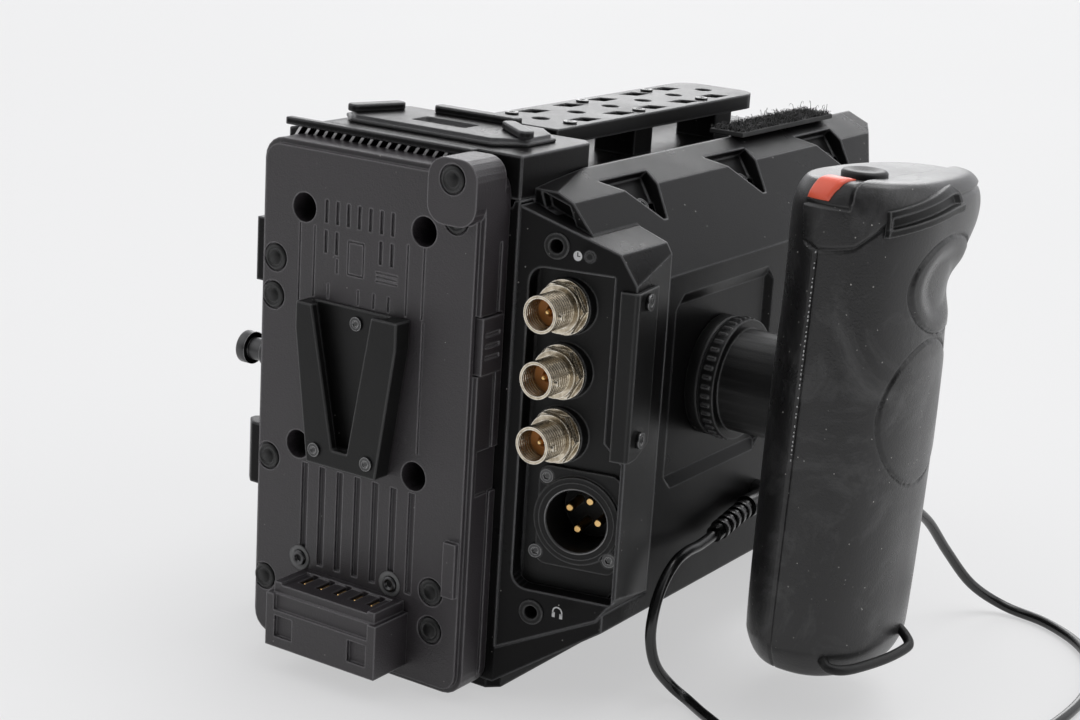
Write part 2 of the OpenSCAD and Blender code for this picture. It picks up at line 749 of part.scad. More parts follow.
// Base plate
base_screw_r = 2;
base_screw_x = 21;
base_screw_y = [-70, 60];
base_mid_y = -5;
module base_screw_places() {
    for (x = [-base_screw_x, base_screw_x]) for (y = base_screw_y) translate([x, y, 0]) children();
}
module base_plate() {
    color(black) difference() {
        slab(0, base_mid_y, 0, 2 * belly_half - 2, base_len, base_lift, wall);
        translate([0, 0, -over]) cylinder(h = base_lift + 2 * over, r = tripod_r);
        translate([0, tripod_gap, -over]) cylinder(h = base_lift + 2 * over, r = tripod_small_r);
        base_screw_places() translate([0, 0, -over]) {
            cylinder(h = base_lift + 2 * over, r = base_screw_r + fit);
            cylinder(h = screw_head_t + over, r = 2 * base_screw_r + fit);
        }
    }
}
module base_screws() {
    color(steel) base_screw_places() {
        translate([0, 0, screw_head_t / 2]) cylinder(h = base_lift + 2 * wall, r = base_screw_r);
        translate([0, 0, screw_head_t]) mirror([0, 0, 1]) screw_head(2 * base_screw_r, screw_head_t);
    }
}

// Connector block
panel_t = 2;
recess_in = 3.7;
recess_low = 32;
recess_high = 118;
recess_step_low = 70;
recess_step = 5;
recess_r = 4;
face_inset = 1.1;
function recess_outline() = concat(
    [[face_w - face_inset, recess_low], [face_w - face_inset, recess_step_low],
     [face_w - face_inset - recess_step, recess_step_low + recess_step],
     [face_w - face_inset - recess_step, recess_high]],
    corner(recess_in + recess_r, recess_high - recess_r, recess_r, 90),
    corner(recess_in + recess_r, recess_low + recess_r, recess_r, 180));
module block_hollow(t, front, back) {
    intersection() {
        along_y(rear_y, 2 * block_len) polygon(block_hollow_outline(t));
        linear_extrude(deck_top) polygon([
            [block_x + t, face_line(block_x + t, front)],
            [fold_x - skin_t - t / 20, face_line(fold_x - skin_t - t / 20, front)],
            [facet_line(back) - skin_t - t / 20, back], [block_x + t, back]]);
    }
}
jack_s = 10.6;
jack_z = 124;
phones_s = 9.7;
phones_z = 26;
led_s = 19.5;
led_z = 122.4;
led_r = 1.2;
module jack_places() {
    on_face(jack_s, jack_z) children();
    on_face(phones_s, phones_z) children();
}
cover_low = 71;
cover_high = 115;
cover_in = 28.3;
cover_back = 11.5;
cover_t = 1.2;
cover_screw_drop = 2;
cover_screw_in = [5, 3];
cover_screw_z = [cover_low + cover_screw_in[0], cover_high - cover_screw_in[1]];
module connector_block() {
    color(black) difference() {
        block_envelope(0);
        block_hollow(wall, recess_d, block_front + over);
        on_face(0, 0) translate([0, -over, 0]) rotate([90, 0, 0]) mirror([0, 0, 1])
            linear_extrude(recess_d + 2 * over) polygon(recess_outline());
        jack_places() bar_y(-over, recess_d + 2 * over, jack_r + jack_wall + fit);
        on_face(led_s, led_z) bar_y(-over, recess_d + 2 * over, led_r + fit);
        cover_screw_seats() bar_x(-wall, wall, screw_r / 2 + fit);
    }
}
bnc_x = 40;
bnc_boss_r = 7.4;
bnc_seat_lift = 0.2;
bnc_seat_y = face_line(bnc_x - bnc_boss_r, recess_d) - bnc_seat_lift;
bnc_back = 14;
xlr_s = 19.5;
xlr_depth = 17;
xlr_wall = 1.2;
xlr_pin_turn = 20;
module bnc_places() {
    for (i = [0:2]) translate([bnc_x, bnc_seat_y, bnc_low + i * bnc_pitch]) children();
}
module on_panel(s, z) {
    on_face(s, z) translate([0, recess_d, 0]) children();
}
// Screws round the power socket, each given as its place along the panel and its height from the socket
panel_screw_off = [[-9.3, 10.4], [9.1, -9.4], [-11.3, -10.5]];
panel_screw_places = [for (q = panel_screw_off) [xlr_s + q[0], xlr_z + q[1]]];
module connector_panel() {
    color(soft_black) difference() {
        union() {
            intersection() {
                block_hollow(wall + gap, recess_d, block_front);
                on_face(-wall, recess_low - wall) translate([0, recess_d, 0])
                    cube([2 * face_w, panel_t, recess_high - recess_low + 2 * wall]);
            }
            bnc_places() bar_y(0, panel_t + wall, bnc_boss_r);
        }
        bnc_places() bar_y(-over, 4 * wall, bnc_r + fit);
        on_panel(xlr_s, xlr_z) bar_y(-over, 3 * wall, xlr_bore_r + xlr_wall + fit);
        for (p = panel_screw_places) on_panel(p[0], p[1]) bar_y(-over, 3 * wall, small_screw_r / 2 + fit);
    }
}
nut_r = 7.2;
nut_t = 2.4;
collar_t = 1.4;
lug_r = 0.9;
module bnc_nuts() {
    color(nickel) bnc_places() difference() {
        union() {
            bar_y(-nut_t / 3, nut_t / 3, nut_r);
            rotate([90, 0, 0]) translate([0, 0, nut_t / 3])
                cylinder(h = nut_t * 2 / 3, r = nut_r * 0.97, $fn = 6);
        }
        bar_y(-nut_t - over, nut_t + 2 * over, bnc_r + fit);
    }
}
module bnc_shells() {
    color(nickel) bnc_places() difference() {
        union() {
            bar_y(-nut_t - collar_t - bnc_len, nut_t + collar_t + bnc_len + bnc_back, bnc_r);
            bar_y(-nut_t - collar_t, collar_t, bnc_r + collar_t);
            for (side = [0, 180]) rotate([0, side, 0])
                translate([0, -nut_t - collar_t - bnc_len * 0.72, 0])
                    bar_x(bnc_bore_r + 0.3 * lug_r, bnc_r - bnc_bore_r + 0.5 * lug_r, lug_r);
        }
        bar_y(-nut_t - collar_t - bnc_len - over, bnc_len + nut_t + collar_t + over, bnc_bore_r);
        bar_y(-over, bnc_back + 2 * over, bnc_bore_r - collar_t);
    }
}
core_hole_r = 1.4;
module bnc_cores() {
    color(tan_core) bnc_places() difference() {
        union() {
            bar_y(-nut_t - collar_t - bnc_len * 0.35, bnc_len * 0.35 + nut_t + collar_t, bnc_bore_r - fit);
            bar_y(0, bnc_back, bnc_bore_r - collar_t - fit);
        }
        bar_y(-nut_t - collar_t - bnc_len - over, bnc_len + over, core_hole_r);
        bar_y(-nut_t - collar_t - bnc_len, 2 * bnc_back + bnc_len, core_hole_r / 2);
    }
}
module bnc_pins() {
    reach = bnc_len * 0.6 + nut_t + collar_t;
    color(gold) bnc_places() bar_y(-reach, reach + bnc_back, core_hole_r / 2 - fit);
}
xlr_flange_t = 1.2;
xlr_flange_w = 22.6;
xlr_flange_h = 27;
module xlr_shell() {
    color(soft_black) on_panel(xlr_s, xlr_z) difference() {
        union() {
            along_y(-xlr_flange_t, xlr_flange_t) polygon(round_rect(xlr_flange_w, xlr_flange_h, wall));
            bar_y(-2 * xlr_flange_t, 2 * xlr_flange_t, xlr_r);
            bar_y(0, xlr_depth, xlr_bore_r + xlr_wall);
        }
        bar_y(-2 * xlr_flange_t - over, xlr_depth + 2 * xlr_flange_t + 2 * over, xlr_bore_r);
        for (p = panel_screw_places) translate([p[0] - xlr_s, 0, p[1] - xlr_z])
            bar_y(-3 * xlr_flange_t, 4 * xlr_flange_t, small_screw_r + fit);
    }
}
xlr_pin_r = 1.1;
xlr_pin_pcr = 4.3;
module xlr_pin_places() {
    on_panel(xlr_s, xlr_z) for (i = [0:3]) rotate([0, 90 * i + xlr_pin_turn, 0])
        translate([xlr_pin_pcr, 0, 0]) children();
}
module xlr_core() {
    color(black) difference() {
        on_panel(xlr_s, xlr_z) bar_y(xlr_depth - 2 * wall, 2 * wall, xlr_bore_r - fit);
        xlr_pin_places() bar_y(-xlr_depth, 3 * xlr_depth, xlr_pin_r + fit);
    }
}
module xlr_pins() {
    color(gold) xlr_pin_places() bar_y(wall, xlr_depth - wall, xlr_pin_r);
}
module panel_screws() {
    color(steel) for (p = panel_screw_places) on_panel(p[0], p[1]) {
        rotate([90, 0, 0]) screw_head(small_screw_r, screw_head_t);
        bar_y(-fit, panel_t + wall, small_screw_r / 2);
    }
}
jack_wall = 1;
jack_lip = 1.6;
led_green = [0.2, 0.5, 0.3];
module jack_bushes() {
    color(soft_black) jack_places() difference() {
        union() {
            bar_y(-cover_t / 2, cover_t / 2, jack_r + jack_lip);
            bar_y(-fit, recess_d + 2 * wall, jack_r + jack_wall);
        }
        bar_y(-over - cover_t, recess_d + wall + over, jack_r);
    }
    color(led_green) on_face(led_s, led_z) bar_y(-cover_t / 4, recess_d, led_r);
}
cover_screw_back = 5;
cover_screw_y = fold_y + cover_screw_back;
module label_cover() {
    back_y = fold_y + cover_back;
    s_x = block_x + cover_in * cos(face_turn);
    color(charcoal) difference() {
        translate([0, 0, cover_low]) linear_extrude(cover_high - cover_low) polygon([
            [s_x, face_line(s_x, 0)], [fold_x, fold_y], [facet_line(back_y), back_y],
            [facet_line(back_y) + cover_t, back_y], [fold_x + cover_t, fold_y - cover_t / 3],
            [fold_x + cover_t / 3, face_line(fold_x, -cover_t)],
            [s_x + cover_t / 2, face_line(s_x, -cover_t)]]);
        along_x(fold_x - wall, 2 * wall) polygon([
            [fold_y + cover_t, cover_low - over], [back_y + over, cover_low - over],
            [back_y + over, cover_low + wall]]);
        cover_screw_seats() bar_x(-wall, 2 * wall, screw_r / 2 + fit);
    }
}
facet_tilt = atan((fold_x - right_reach) / (block_front - fold_y));
module cover_screw_seats() {
    for (z = cover_screw_z) translate([facet_line(cover_screw_y) + cover_t / cos(facet_tilt), cover_screw_y, z])
        rotate([0, 0, facet_tilt]) children();
}
module label_screws() {
    grip_len = cover_t + 0.5 * skin_t;
    color(steel) cover_screw_seats() {
        bar_x(-grip_len, grip_len, screw_r / 2 - fit);
        rotate([0, 90, 0]) screw_head(screw_r, screw_head_t * 0.8);
    }
}

// Battery plate
plate_mid_x = -plate_shift;
plate_mid_z = plate_z + plate_h / 2;
plate_r = 6;
hole_low = 59.7;
hole_mid_x = -11.5;
cap_w = 15;
cap_h = 17;
cap_t = 3;
cap_rise = 3.5;
plug_r = 3.9;
plug_t = 0.8;
rib_t = 0.8;
rib_w = 2;
rib_pitch = 6;
rib_low = 27;
rib_high = 55;
dash_z = plate_z + plate_h * 0.8;
dash_step = 8;
step_drop = 40;
button_w = 9;
button_h = 15;
button_z = 97.5;
button_in = 6.2;
button_y = plate_rear + button_in;
button_t = 2.6;
// Round plugs in the plate, as shares of its width and height
plug_shares = [[0.89, 0.911], [0.077, 0.771], [0.07, 0.697], [0.066, 0.373], [0.062, 0.122], [0.855, 0.197],
               [0.859, 0.121]];
function plug_places() = [for (q = plug_shares)
    [plate_mid_x + (q[0] - 0.5) * plate_w, plate_z + q[1] * plate_h]];
module plate_holes() {
    for (x = [-1, 1]) for (z = [0, 1])
        translate([hole_mid_x + x * hole_span_x / 2, 0, hole_low + z * hole_span_z]) children();
}
module battery_plate() {
    right = plate_mid_x + plate_w / 2;
    color(charcoal) difference() {
        union() {
            translate([plate_mid_x, 0, plate_mid_z]) along_y(plate_rear + wall / 2, plate_t - wall / 2)
                polygon(round_rect(plate_w, plate_h, plate_r));
            translate([plate_mid_x, 0, plate_mid_z]) along_y(plate_rear, plate_t)
                polygon(round_rect(plate_w - wall, plate_h - wall, plate_r - wall / 2));
            // raised corner cap
            translate([right - cap_w / 2, 0, plate_z + plate_h + cap_rise - cap_h / 2])
                along_y(plate_rear - cap_t, cap_t + plate_t * 0.8)
                    polygon(round_rect(cap_w, cap_h, plate_r - rib_t));
            // low ridge beside the contact block
            translate([right - 2 * wall, plate_rear - wall / 2, rib_low + wall]) cube([1.3 * wall, wall, 5 * wall]);
        }
        plate_holes() bar_y(plate_rear - over, plate_t + 2 * over, hole_r);
        for (p = plug_places()) translate([p[0], 0, p[1]]) bar_y(plate_rear - over, plug_t + over, plug_r);
        translate([right - cap_w / 2, 0, plate_z + plate_h + cap_rise - cap_h / 3.2])
            bar_y(plate_rear - cap_t - over, plug_t + over, plug_r);
        // upright grooves under the wedge
        for (i = [-3:3]) translate([plate_mid_x + i * rib_pitch - rib_w / 2, plate_rear - over, rib_low])
            cube([rib_w, rib_t + over, rib_high - rib_low]);
        // short dashes above it
        for (i = [-3:3]) for (z = [0, 1])
            if (abs(i) > 1 || z == 1) translate([
                plate_mid_x - wall + i * rib_pitch * 0.6, plate_rear - over, dash_z + z * dash_step])
                cube([rib_w / 2, rib_t + over, 2 * wall]);
        // pocket of the release button
        translate([
            right - button_t - battery_travel - gap, button_y - button_w / 2 - gap, button_z - button_h / 2 - gap])
            cube([button_t + battery_travel + 2 * over, button_w + 2 * gap, button_h + 2 * gap]);
        // long step along the right side
        translate([right - rib_t, plate_rear + plate_t * 0.7, plate_z - over])
            cube([over + rib_t, rib_w / 2, plate_h - cap_h]);
        translate([right - rib_t, plate_rear + wall, button_z - step_drop])
            cube([over + rib_t, button_w, button_h * 0.8]);
    }
}
module plate_plugs() {
    right = plate_mid_x + plate_w / 2;
    color(soft_black) {
        for (p = plug_places()) translate([p[0], plate_rear + plug_t, p[1]]) rotate([90, 0, 0])
            screw_head(plug_r - fit, plug_t * 1.4);
        translate([right - cap_w / 2, plate_rear - cap_t + plug_t, plate_z + plate_h + cap_rise - cap_h / 3.2])
            rotate([90, 0, 0]) screw_head(plug_r - fit, plug_t * 1.4);
    }
}
vee_x = -11.6;
vee_low = 58;
vee_rail = 5;
vee_under = 2.5;
module vee_lock() {
    high = vee_low + vee_h;
    color(soft_black) difference() {
        union() {
            along_y(plate_rear - vee_t, vee_t) polygon([
                [vee_x - vee_top_w / 2, high], [vee_x + vee_top_w / 2, high],
                [vee_x + vee_top_w / 2, high - vee_h / 6], [vee_x + vee_foot_w / 2, vee_low],
                [vee_x - vee_foot_w / 2, vee_low], [vee_x - vee_top_w / 2, high - vee_h / 6]]);
        }
        // the pocket that the battery's wedge slides down into
        along_y(plate_rear - vee_t - over, vee_under + over) polygon([
            [vee_x - vee_top_w / 2 + vee_rail, high + over],
            [vee_x + vee_top_w / 2 - 1.6 * vee_rail, high + over],
            [vee_x + vee_rail * 0.4, vee_low + vee_rail], [vee_x - vee_rail * 0.6, vee_low + vee_rail]]);
        along_y(plate_rear - vee_t + vee_under - fit, vee_under) polygon([
            [vee_x - vee_top_w / 2 + vee_rail * 0.5, high + over],
            [vee_x + vee_top_w / 2 - 1.1 * vee_rail, high + over],
            [vee_x + vee_rail * 0.9, vee_low + vee_rail * 0.8],
            [vee_x - vee_rail * 1.1, vee_low + vee_rail * 0.8]]);
    }
}
vee_screw_up = 4;
vee_screw_in = 2.8;
// Each screw's X, height, and how far its head stands behind the plate
function vee_screw_places() = [
    [vee_x, vee_low + vee_h - vee_screw_up, vee_t - 2 * vee_under + fit],
    [vee_x + vee_foot_w / 2 - vee_screw_in, vee_low + vee_screw_up, vee_t],
    [vee_x - vee_foot_w / 2 + vee_screw_in, vee_low + vee_screw_up, vee_t]];
module vee_screws() {
    color(steel) for (p = vee_screw_places()) translate([p[0], plate_rear - p[2], p[1]]) rotate([90, 0, 0])
        screw_head(small_screw_r, screw_head_t / 2);
}
contact_z = 7;
blade_count = 5;
blade_t = 1;
module contact_block() {
    color(charcoal) difference() {
        union() {
            translate([plate_mid_x - contact_w / 2, plate_rear - contact_t, contact_z])
                cube([contact_w, contact_t, contact_h - wall]);
            translate([plate_mid_x - contact_w / 2 + wall / 2, plate_rear - contact_t + wall / 2, contact_z])
                cube([contact_w - wall, contact_t - wall / 2, contact_h]);
        }
        for (i = [0:blade_count - 1])
            translate([blade_x(i) - blade_t, plate_rear - contact_t + 2 * wall, contact_z + contact_h / 2])
            cube([2 * blade_t, contact_t - 2.6 * wall, contact_h]);
        for (side = [0, 1]) translate([
            plate_mid_x - contact_w / 2 + wall + side * (contact_w - 4 * wall),
            plate_rear - contact_t - over, contact_z + wall])
            cube([2 * wall, wall / 3 + over, 2 * wall]);
    }
}
function blade_x(i) = plate_mid_x + (i - (blade_count - 1) / 2) * contact_w / (blade_count * 1.3);
module contact_blades() {
    color(gold) for (i = [0:blade_count - 1])
        translate([blade_x(i) - blade_t / 2, plate_rear - contact_t + 2.4 * wall, contact_z + contact_h / 2])
            cube([blade_t, contact_t - 3.4 * wall, contact_h / 2 - wall / 3]);
}
module battery_button() {
    right = plate_mid_x + plate_w / 2;
    color(charcoal) difference() {
        translate([right - button_t, button_y - button_w / 2, button_z - button_h / 2])
            cube([button_t + rib_t, button_w, button_h]);
        for (i = [-1:1]) translate([right + rib_t / 2, button_y - button_w / 3, button_z + i * wall - rib_t / 2])
            cube([rib_t, button_w * 2 / 3, rib_t]);
    }
}

// Left rear corner
stud_y = -76.6;
stud_z = 76.5;
stud_r = 3.2;
stud_head_r = 4.6;
stud_len = 16;
module left_stud() {
    color(steel) difference() {
        translate([-left_reach - stud_len, stud_y, stud_z]) {
            bar_x(0, stud_len + rear_corner, stud_r);
            bar_x(0, wall, stud_head_r);
            bar_x(stud_len / 2, wall / 2, stud_r + wall / 3);
        }
        linear_extrude(deck_top) polygon(body_plan(0));
    }
}
guard_low = 20;
guard_h = 36;
guard_t = 14;
guard_len = 8;
module left_guard() {
    far = door_rear - 2 * gap;
    color(black) difference() {
        union() {
            translate([0, 0, guard_low + guard_h / 2]) linear_extrude(guard_h / 2) polygon([
                [-left_reach - guard_t + wall, far], [-left_reach - guard_t, far - wall],
                [-left_reach - guard_t, far - guard_len + wall],
                [-left_reach - guard_t + wall, far - guard_len],
                [rear_corner - left_reach, far - guard_len], [rear_corner - left_reach, far]]);
            translate([0, 0, guard_low]) linear_extrude(guard_h / 2) polygon([
                [-left_reach - guard_t + wall, far], [-left_reach - guard_t + wall, far - guard_len / 2],
                [rear_corner - left_reach, far - guard_len / 2], [rear_corner - left_reach, far]]);
        }
        linear_extrude(deck_top) polygon(body_plan(0));
    }
}

// Monitor that folds out on the left
door_gap_x = 53.8;
hinge_x = -door_gap_x - gap - door_t / 2;
hinge_y = 60;
hinge_under = 0.2;
hinge_r = door_t / 2 - hinge_under;
ear_h = 8;
door_low = lens_z - door_h / 2;
door_rear = hinge_y - door_len;
tab_z = 105;
tab_h = 18;
module door_hinge() {
    color(black) {
        for (z = [door_low - gap - ear_h, door_low + door_h + gap]) translate([0, 0, z])
            linear_extrude(ear_h) union() {
                translate([hinge_x, hinge_y]) circle(r = hinge_r);
                translate([hinge_x, hinge_y - hinge_r]) square([-hinge_x - left_reach, 2 * hinge_r]);
            }
    }
    color(steel) translate([hinge_x, hinge_y, door_low - gap - ear_h / 2])
        cylinder(h = door_h + 2 * gap + ear_h, r = hinge_pin_r);
}
screen_w = 98;
screen_h = 60;
module monitor_door() {
    color(black) difference() {
        union() {
            translate([0, 0, door_low]) linear_extrude(door_h) polygon([
                [hinge_x, hinge_y], [hinge_x - door_t / 2, hinge_y], [hinge_x - door_t / 2, door_rear + wall],
                [hinge_x - door_t / 2 + wall, door_rear], [hinge_x + door_t / 2, door_rear],
                [hinge_x + door_t / 2, hinge_y - 3 * wall], [hinge_x, hinge_y - wall]]);
            translate([hinge_x, hinge_y, door_low]) cylinder(h = door_h, r = hinge_r);
            translate([hinge_x - door_t / 2 + wall / 3, door_rear - wall * 1.4, tab_z - tab_h / 2])
                cube([door_t / 2, wall * 2, tab_h]);
        }
        translate([hinge_x, hinge_y, door_low - over]) cylinder(h = door_h + 2 * over, r = hinge_pin_r + fit);
        translate([0, door_rear + door_len / 2, lens_z]) along_x(hinge_x + door_t / 2 - wall, wall + over)
            polygon(round_rect(screen_w, screen_h, wall));
    }
}
module monitor_glass() {
    color(soft_black) translate([0, door_rear + door_len / 2, lens_z])
        along_x(hinge_x + door_t / 2 - wall, wall * 0.7)
        polygon(round_rect(screen_w - 2 * fit, screen_h - 2 * fit, wall));
}

// Lens release button
module lens_release() {
    color(steel) translate([-release_x, 0, release_z]) {
        bar_y(chassis_front - release_travel - wall / 3, front_t + release_travel + wall, release_r);
        bar_y(chassis_front - release_travel - wall, wall, release_r + wall / 3);
    }
}

// Toothed discs and the bolt of the grip mount
disc_gap = 0.3;
disc_stand = 2.2;
disc_x = right_reach + disc_stand;
teeth = 40;
tooth_h = 0.8;
knurl_t = 4.6;
boss_r = 14;
module rosette_disc() {
    color(charcoal) difference() {
        translate([0, grip_y, grip_z]) union() {
            bar_x(pocket_floor, disc_x - pocket_floor, rosette_r);
        }
        translate([0, grip_y, grip_z]) bar_x(pocket_floor - over, 3 * wall, bolt_r + fit);
    }
}
module grip_bolt() {
    color(steel) translate([0, grip_y, grip_z]) difference() {
        union() {
            bar_x(right_reach - side_boss_t + over, boss_end - right_reach + side_boss_t, bolt_r);
            bar_x(boss_end + gap, wall, 2 * bolt_r);
        }
        bar_x(boss_end + gap + wall / 2, wall, bolt_r * 0.8);
    }
}
grip_in_x = grip_x - grip_a;
boss_end = grip_in_x + grip_a / 2.6;
module on_grip() {
    translate([0, grip_y, grip_z]) rotate([-grip_lean, 0, 0]) children();
}
module grip_disc() {
    color(charcoal) on_grip() difference() {
        union() {
            bar_x(disc_x + disc_gap, knurl_t, rosette_r);
            for (i = [0:teeth - 1]) rotate([360 * i / teeth, 0, 0])
                translate([disc_x + disc_gap + knurl_t / 4, -tooth_h / 2, rosette_r - tooth_h / 2])
                    cube([knurl_t / 2, tooth_h, tooth_h]);
            bar_x(disc_x + disc_gap + knurl_t, boss_end - disc_x - disc_gap - knurl_t, boss_r);
        }
        bar_x(right_reach, 2 * grip_x, bolt_r + fit);
    }
}

// Grip body: oval sections stacked along the grip
grip_shift = 5;
oval_sides = 32;
oval_power = 0.84;
// Each row holds height, side, back and front as shares of the grip's own sizes
grip_shares = [[-1, 0.66, 0.78, 0.74], [-0.965, 0.84, 0.9, 0.88], [-0.88, 0.95, 1, 0.98],
               [-0.3, 1, 1, 0.98], [0.15, 1, 1, 0.95], [0.42, 0.98, 1, 0.9], [0.56, 0.98, 1, 0.97],
               [0.68, 0.99, 1, 1.25], [0.8, 1, 1, 1.56], [0.9, 0.98, 0.99, 1.62],
               [0.97, 0.9, 0.94, 1.5], [1, 0.78, 0.84, 1.3]];
function grip_level(share) = share < 0 ? share * grip_drop : share * grip_rise;
function grip_ring(row, t) = let (z = grip_level(row[0]) - t * sign(row[0]) * (abs(row[0]) > 0.95 ? 1 : 0))
    [for (k = [0:oval_sides - 1])
        let (c = cos(360 * (k + 0.5) / oval_sides), s = sin(360 * (k + 0.5) / oval_sides),
             reach = grip_b * (s < 0 ? row[2] : row[3]) - t)
        [grip_x + (grip_a * row[1] - t) * sign(c) * pow(abs(c), oval_power),
         grip_shift + reach * sign(s) * pow(abs(s), oval_power), z]];
module grip_form(t) {
    rings = len(grip_shares);
    points = [for (row = grip_shares) for (q = grip_ring(row, t)) q];
    sides = [for (i = [0:rings - 2]) for (k = [0:oval_sides - 1])
        let (a = i * oval_sides + k, b = i * oval_sides + (k + 1) % oval_sides)
        for (f = [[a, b + oval_sides, b], [a, a + oval_sides, b + oval_sides]]) f];
    ends = [[for (k = [0:oval_sides - 1]) k],
            [for (k = [0:oval_sides - 1]) rings * oval_sides - 1 - k]];
    polyhedron(points = points, faces = concat(sides, ends), convexity = 6);
}
cap_z = 46;
seam = 0.15;
module grip_shell(side) {
    on_grip() difference() {
        intersection() {
            grip_form(0);
            translate([side > 0 ? grip_x + seam : grip_x - 2 * grip_a, -2 * grip_b, -grip_drop - over])
                cube([2 * grip_a - (side > 0 ? 0 : seam), 4 * grip_b, grip_drop + cap_z + over]);
        }
        grip_form(grip_wall);
        if (side < 0) bar_x(grip_in_x - over, grip_a / 2 + over, boss_r + fit);
        gland_place() cylinder(h = 4 * wall, r = lead_r + gap, center = true);
    }
}
gland_y = 33;
gland_z = -36.3;
module gland_place() {
    translate([grip_x, gland_y, gland_z]) rotate([90, 0, 0]) children();
}
module grip_inner() {
    color(soft_black) grip_shell(-1);
}
loop_y = -5;
loop_rise = 6;
loop_len = 30;
loop_out = 7;
loop_t = 1.6;
loop_tilt = 20;
module grip_outer() {
    color(soft_black) grip_shell(1);
    // fixed strap loop low on the outer side
    color(steel) on_grip() translate([grip_x + 0.9 * grip_a - loop_t, loop_y, loop_rise - grip_drop])
        rotate([0, loop_tilt, 0]) difference() {
            linear_extrude(2 * loop_t) polygon(round_rect(2 * loop_out, loop_len, loop_out / 2));
            translate([0, 0, -over]) linear_extrude(4 * loop_t)
                polygon(round_rect(2 * loop_out - 2 * loop_t, loop_len - 2 * loop_t, loop_out / 3));
            translate([-2 * loop_out, -loop_len, -over])
                cube([2 * loop_out + grip_wall / 4, 2 * loop_len, 4 * loop_t]);
        }
}
rec_y = -21;
rec_w = 13;
rec_len = 11;
rec_t = 3;
rec_stand = 0.2;
rock_y = -6;
rock_r = 6;
lug_bar = 2.2;
lug_len = 36;
lug_y = 2;
lug_h = 6;
module grip_cap() {
    color(soft_black) on_grip() difference() {
        union() {
            intersection() {
                grip_form(0);
                translate([grip_x - 2 * grip_a, -2 * grip_b, cap_z + seam])
                    cube([4 * grip_a, 6 * grip_b, grip_rise]);
            }
            // slotted lug for a hand strap along the outer top edge
            translate([grip_x + grip_a - 2 * lug_bar, lug_y - lug_len / 2, grip_rise - 1.5 * lug_h])
                cube([3 * lug_bar, lug_len, lug_h]);
        }
        grip_form(grip_wall);
        translate([grip_x + grip_a - lug_bar / 4, lug_y - lug_len / 2 + lug_bar * 1.4, grip_rise - 2 * lug_h])
            cube([lug_bar * 0.6, lug_len - 2.8 * lug_bar, 2 * lug_h]);
        translate([grip_x, rec_y, grip_rise - rec_t - record_travel]) linear_extrude(4 * wall)
            polygon(round_rect(rec_w + 2 * gap, rec_len + 2 * gap, 2 * gap));
        translate([grip_x, rock_y, grip_rise - 3 * wall]) linear_extrude(4 * wall)
            polygon(round_rect(rec_w + 2 * gap, 2 * rock_r + 2 * gap, gap));
    }
}
module grip_badge() {
    color(charcoal) on_grip() intersection() {
        difference() {
            grip_form(-rib_t * 0.7);
            grip_form(-seam / 5);
        }
        translate([0, grip_shift, 1]) bar_x(grip_x, 2 * grip_a, boss_r * 1.35);
    }
}
module record_button() {
    color(signal_red) on_grip() translate([grip_x, rec_y, grip_rise - rec_t + rec_stand])
        linear_extrude(rec_t) polygon(round_rect(rec_w, rec_len, 3 * gap));
}
module zoom_rocker() {
    color(soft_black) on_grip() translate([grip_x, rock_y, grip_rise - 0.8 * rock_r]) intersection() {
        translate([-rec_w / 2, 0, 0]) bar_x(0, rec_w, rock_r);
        translate([-rec_w, -2 * rock_r, -rock_r / 3]) cube([2 * rec_w, 4 * rock_r, 2 * rock_r]);
    }
}

// Lead from the side port to the grip
plug_stand = 4;
plug_back = 12;
plug_x = right_reach + plug_stand;
plug_y = port_y - plug_back;
relief_tilt = 10.4;
relief_len = 18.3;
relief_r = 2.3;
relief_ribs = 5;
module lead_plug() {
    color(soft_black) {
        translate([0, port_y, port_z]) bar_x(right_reach - wall, wall, port_r - fit);
        translate([0, port_y, port_z]) bar_x(right_reach, plug_x - right_reach + port_r, port_r + 1);
        translate([plug_x, plug_y, port_z]) bar_y(0, port_y - plug_y, port_r);
        translate([plug_x, plug_y, port_z]) rotate([relief_tilt, 0, 0]) {
            bar_y(-relief_len, relief_len + wall, relief_r);
            for (i = [0:relief_ribs - 1])
                bar_y(-relief_len * (i + 1) / (relief_ribs + 1), relief_r / 2, relief_r + lead_r / 3);
        }
    }
}
function lead_route() = [
    [61, -27, 38.7], [61, -30.5, 38.1], [61.2, -36, 37.8], [61.4, -42, 38], [61.8, -49, 37], [62, -55, 33],
    [62.2, -59, 27], [62.5, -60.5, 19], [63.5, -58.5, 11], [66, -54, 4.5], [72, -54, 1.6], [80, -59, 1.6],
    [92, -65, 1.6], [106, -67, 1.6], [122, -62, 1.6], [135, -52, 1.6], [145, -38, 1.6], [151, -20, 1.6],
    [154, 0, 1.6], [154, 20, 1.6], [150, 40, 1.6], [140, 56, 1.6], [126, 66, 1.6], [112, 68, 2.5],
    [103, 62, 9], [98, 52, 21], [96, 40, 33], [95, 28, 40.5], [95, 18, 44], [95, 10.5, 44.9], [95, 6, 45.1]];
lead_sides = 8;
function lead_dir(p, i) = let (a = p[max(i - 1, 0)], b = p[min(i + 1, len(p) - 1)], v = b - a) v / norm(v);
function smooth_route(p) = [for (i = [0:len(p) - 2]) for (k = [0:1])
    let (a = p[max(i - 1, 0)], b = p[i], c = p[i + 1], d = p[min(i + 2, len(p) - 1)], t = k / 2)
    0.5 * (2 * b + (c - a) * t + (2 * a - 5 * b + 4 * c - d) * t * t + (3 * b - a - 3 * c + d) * t * t * t)];
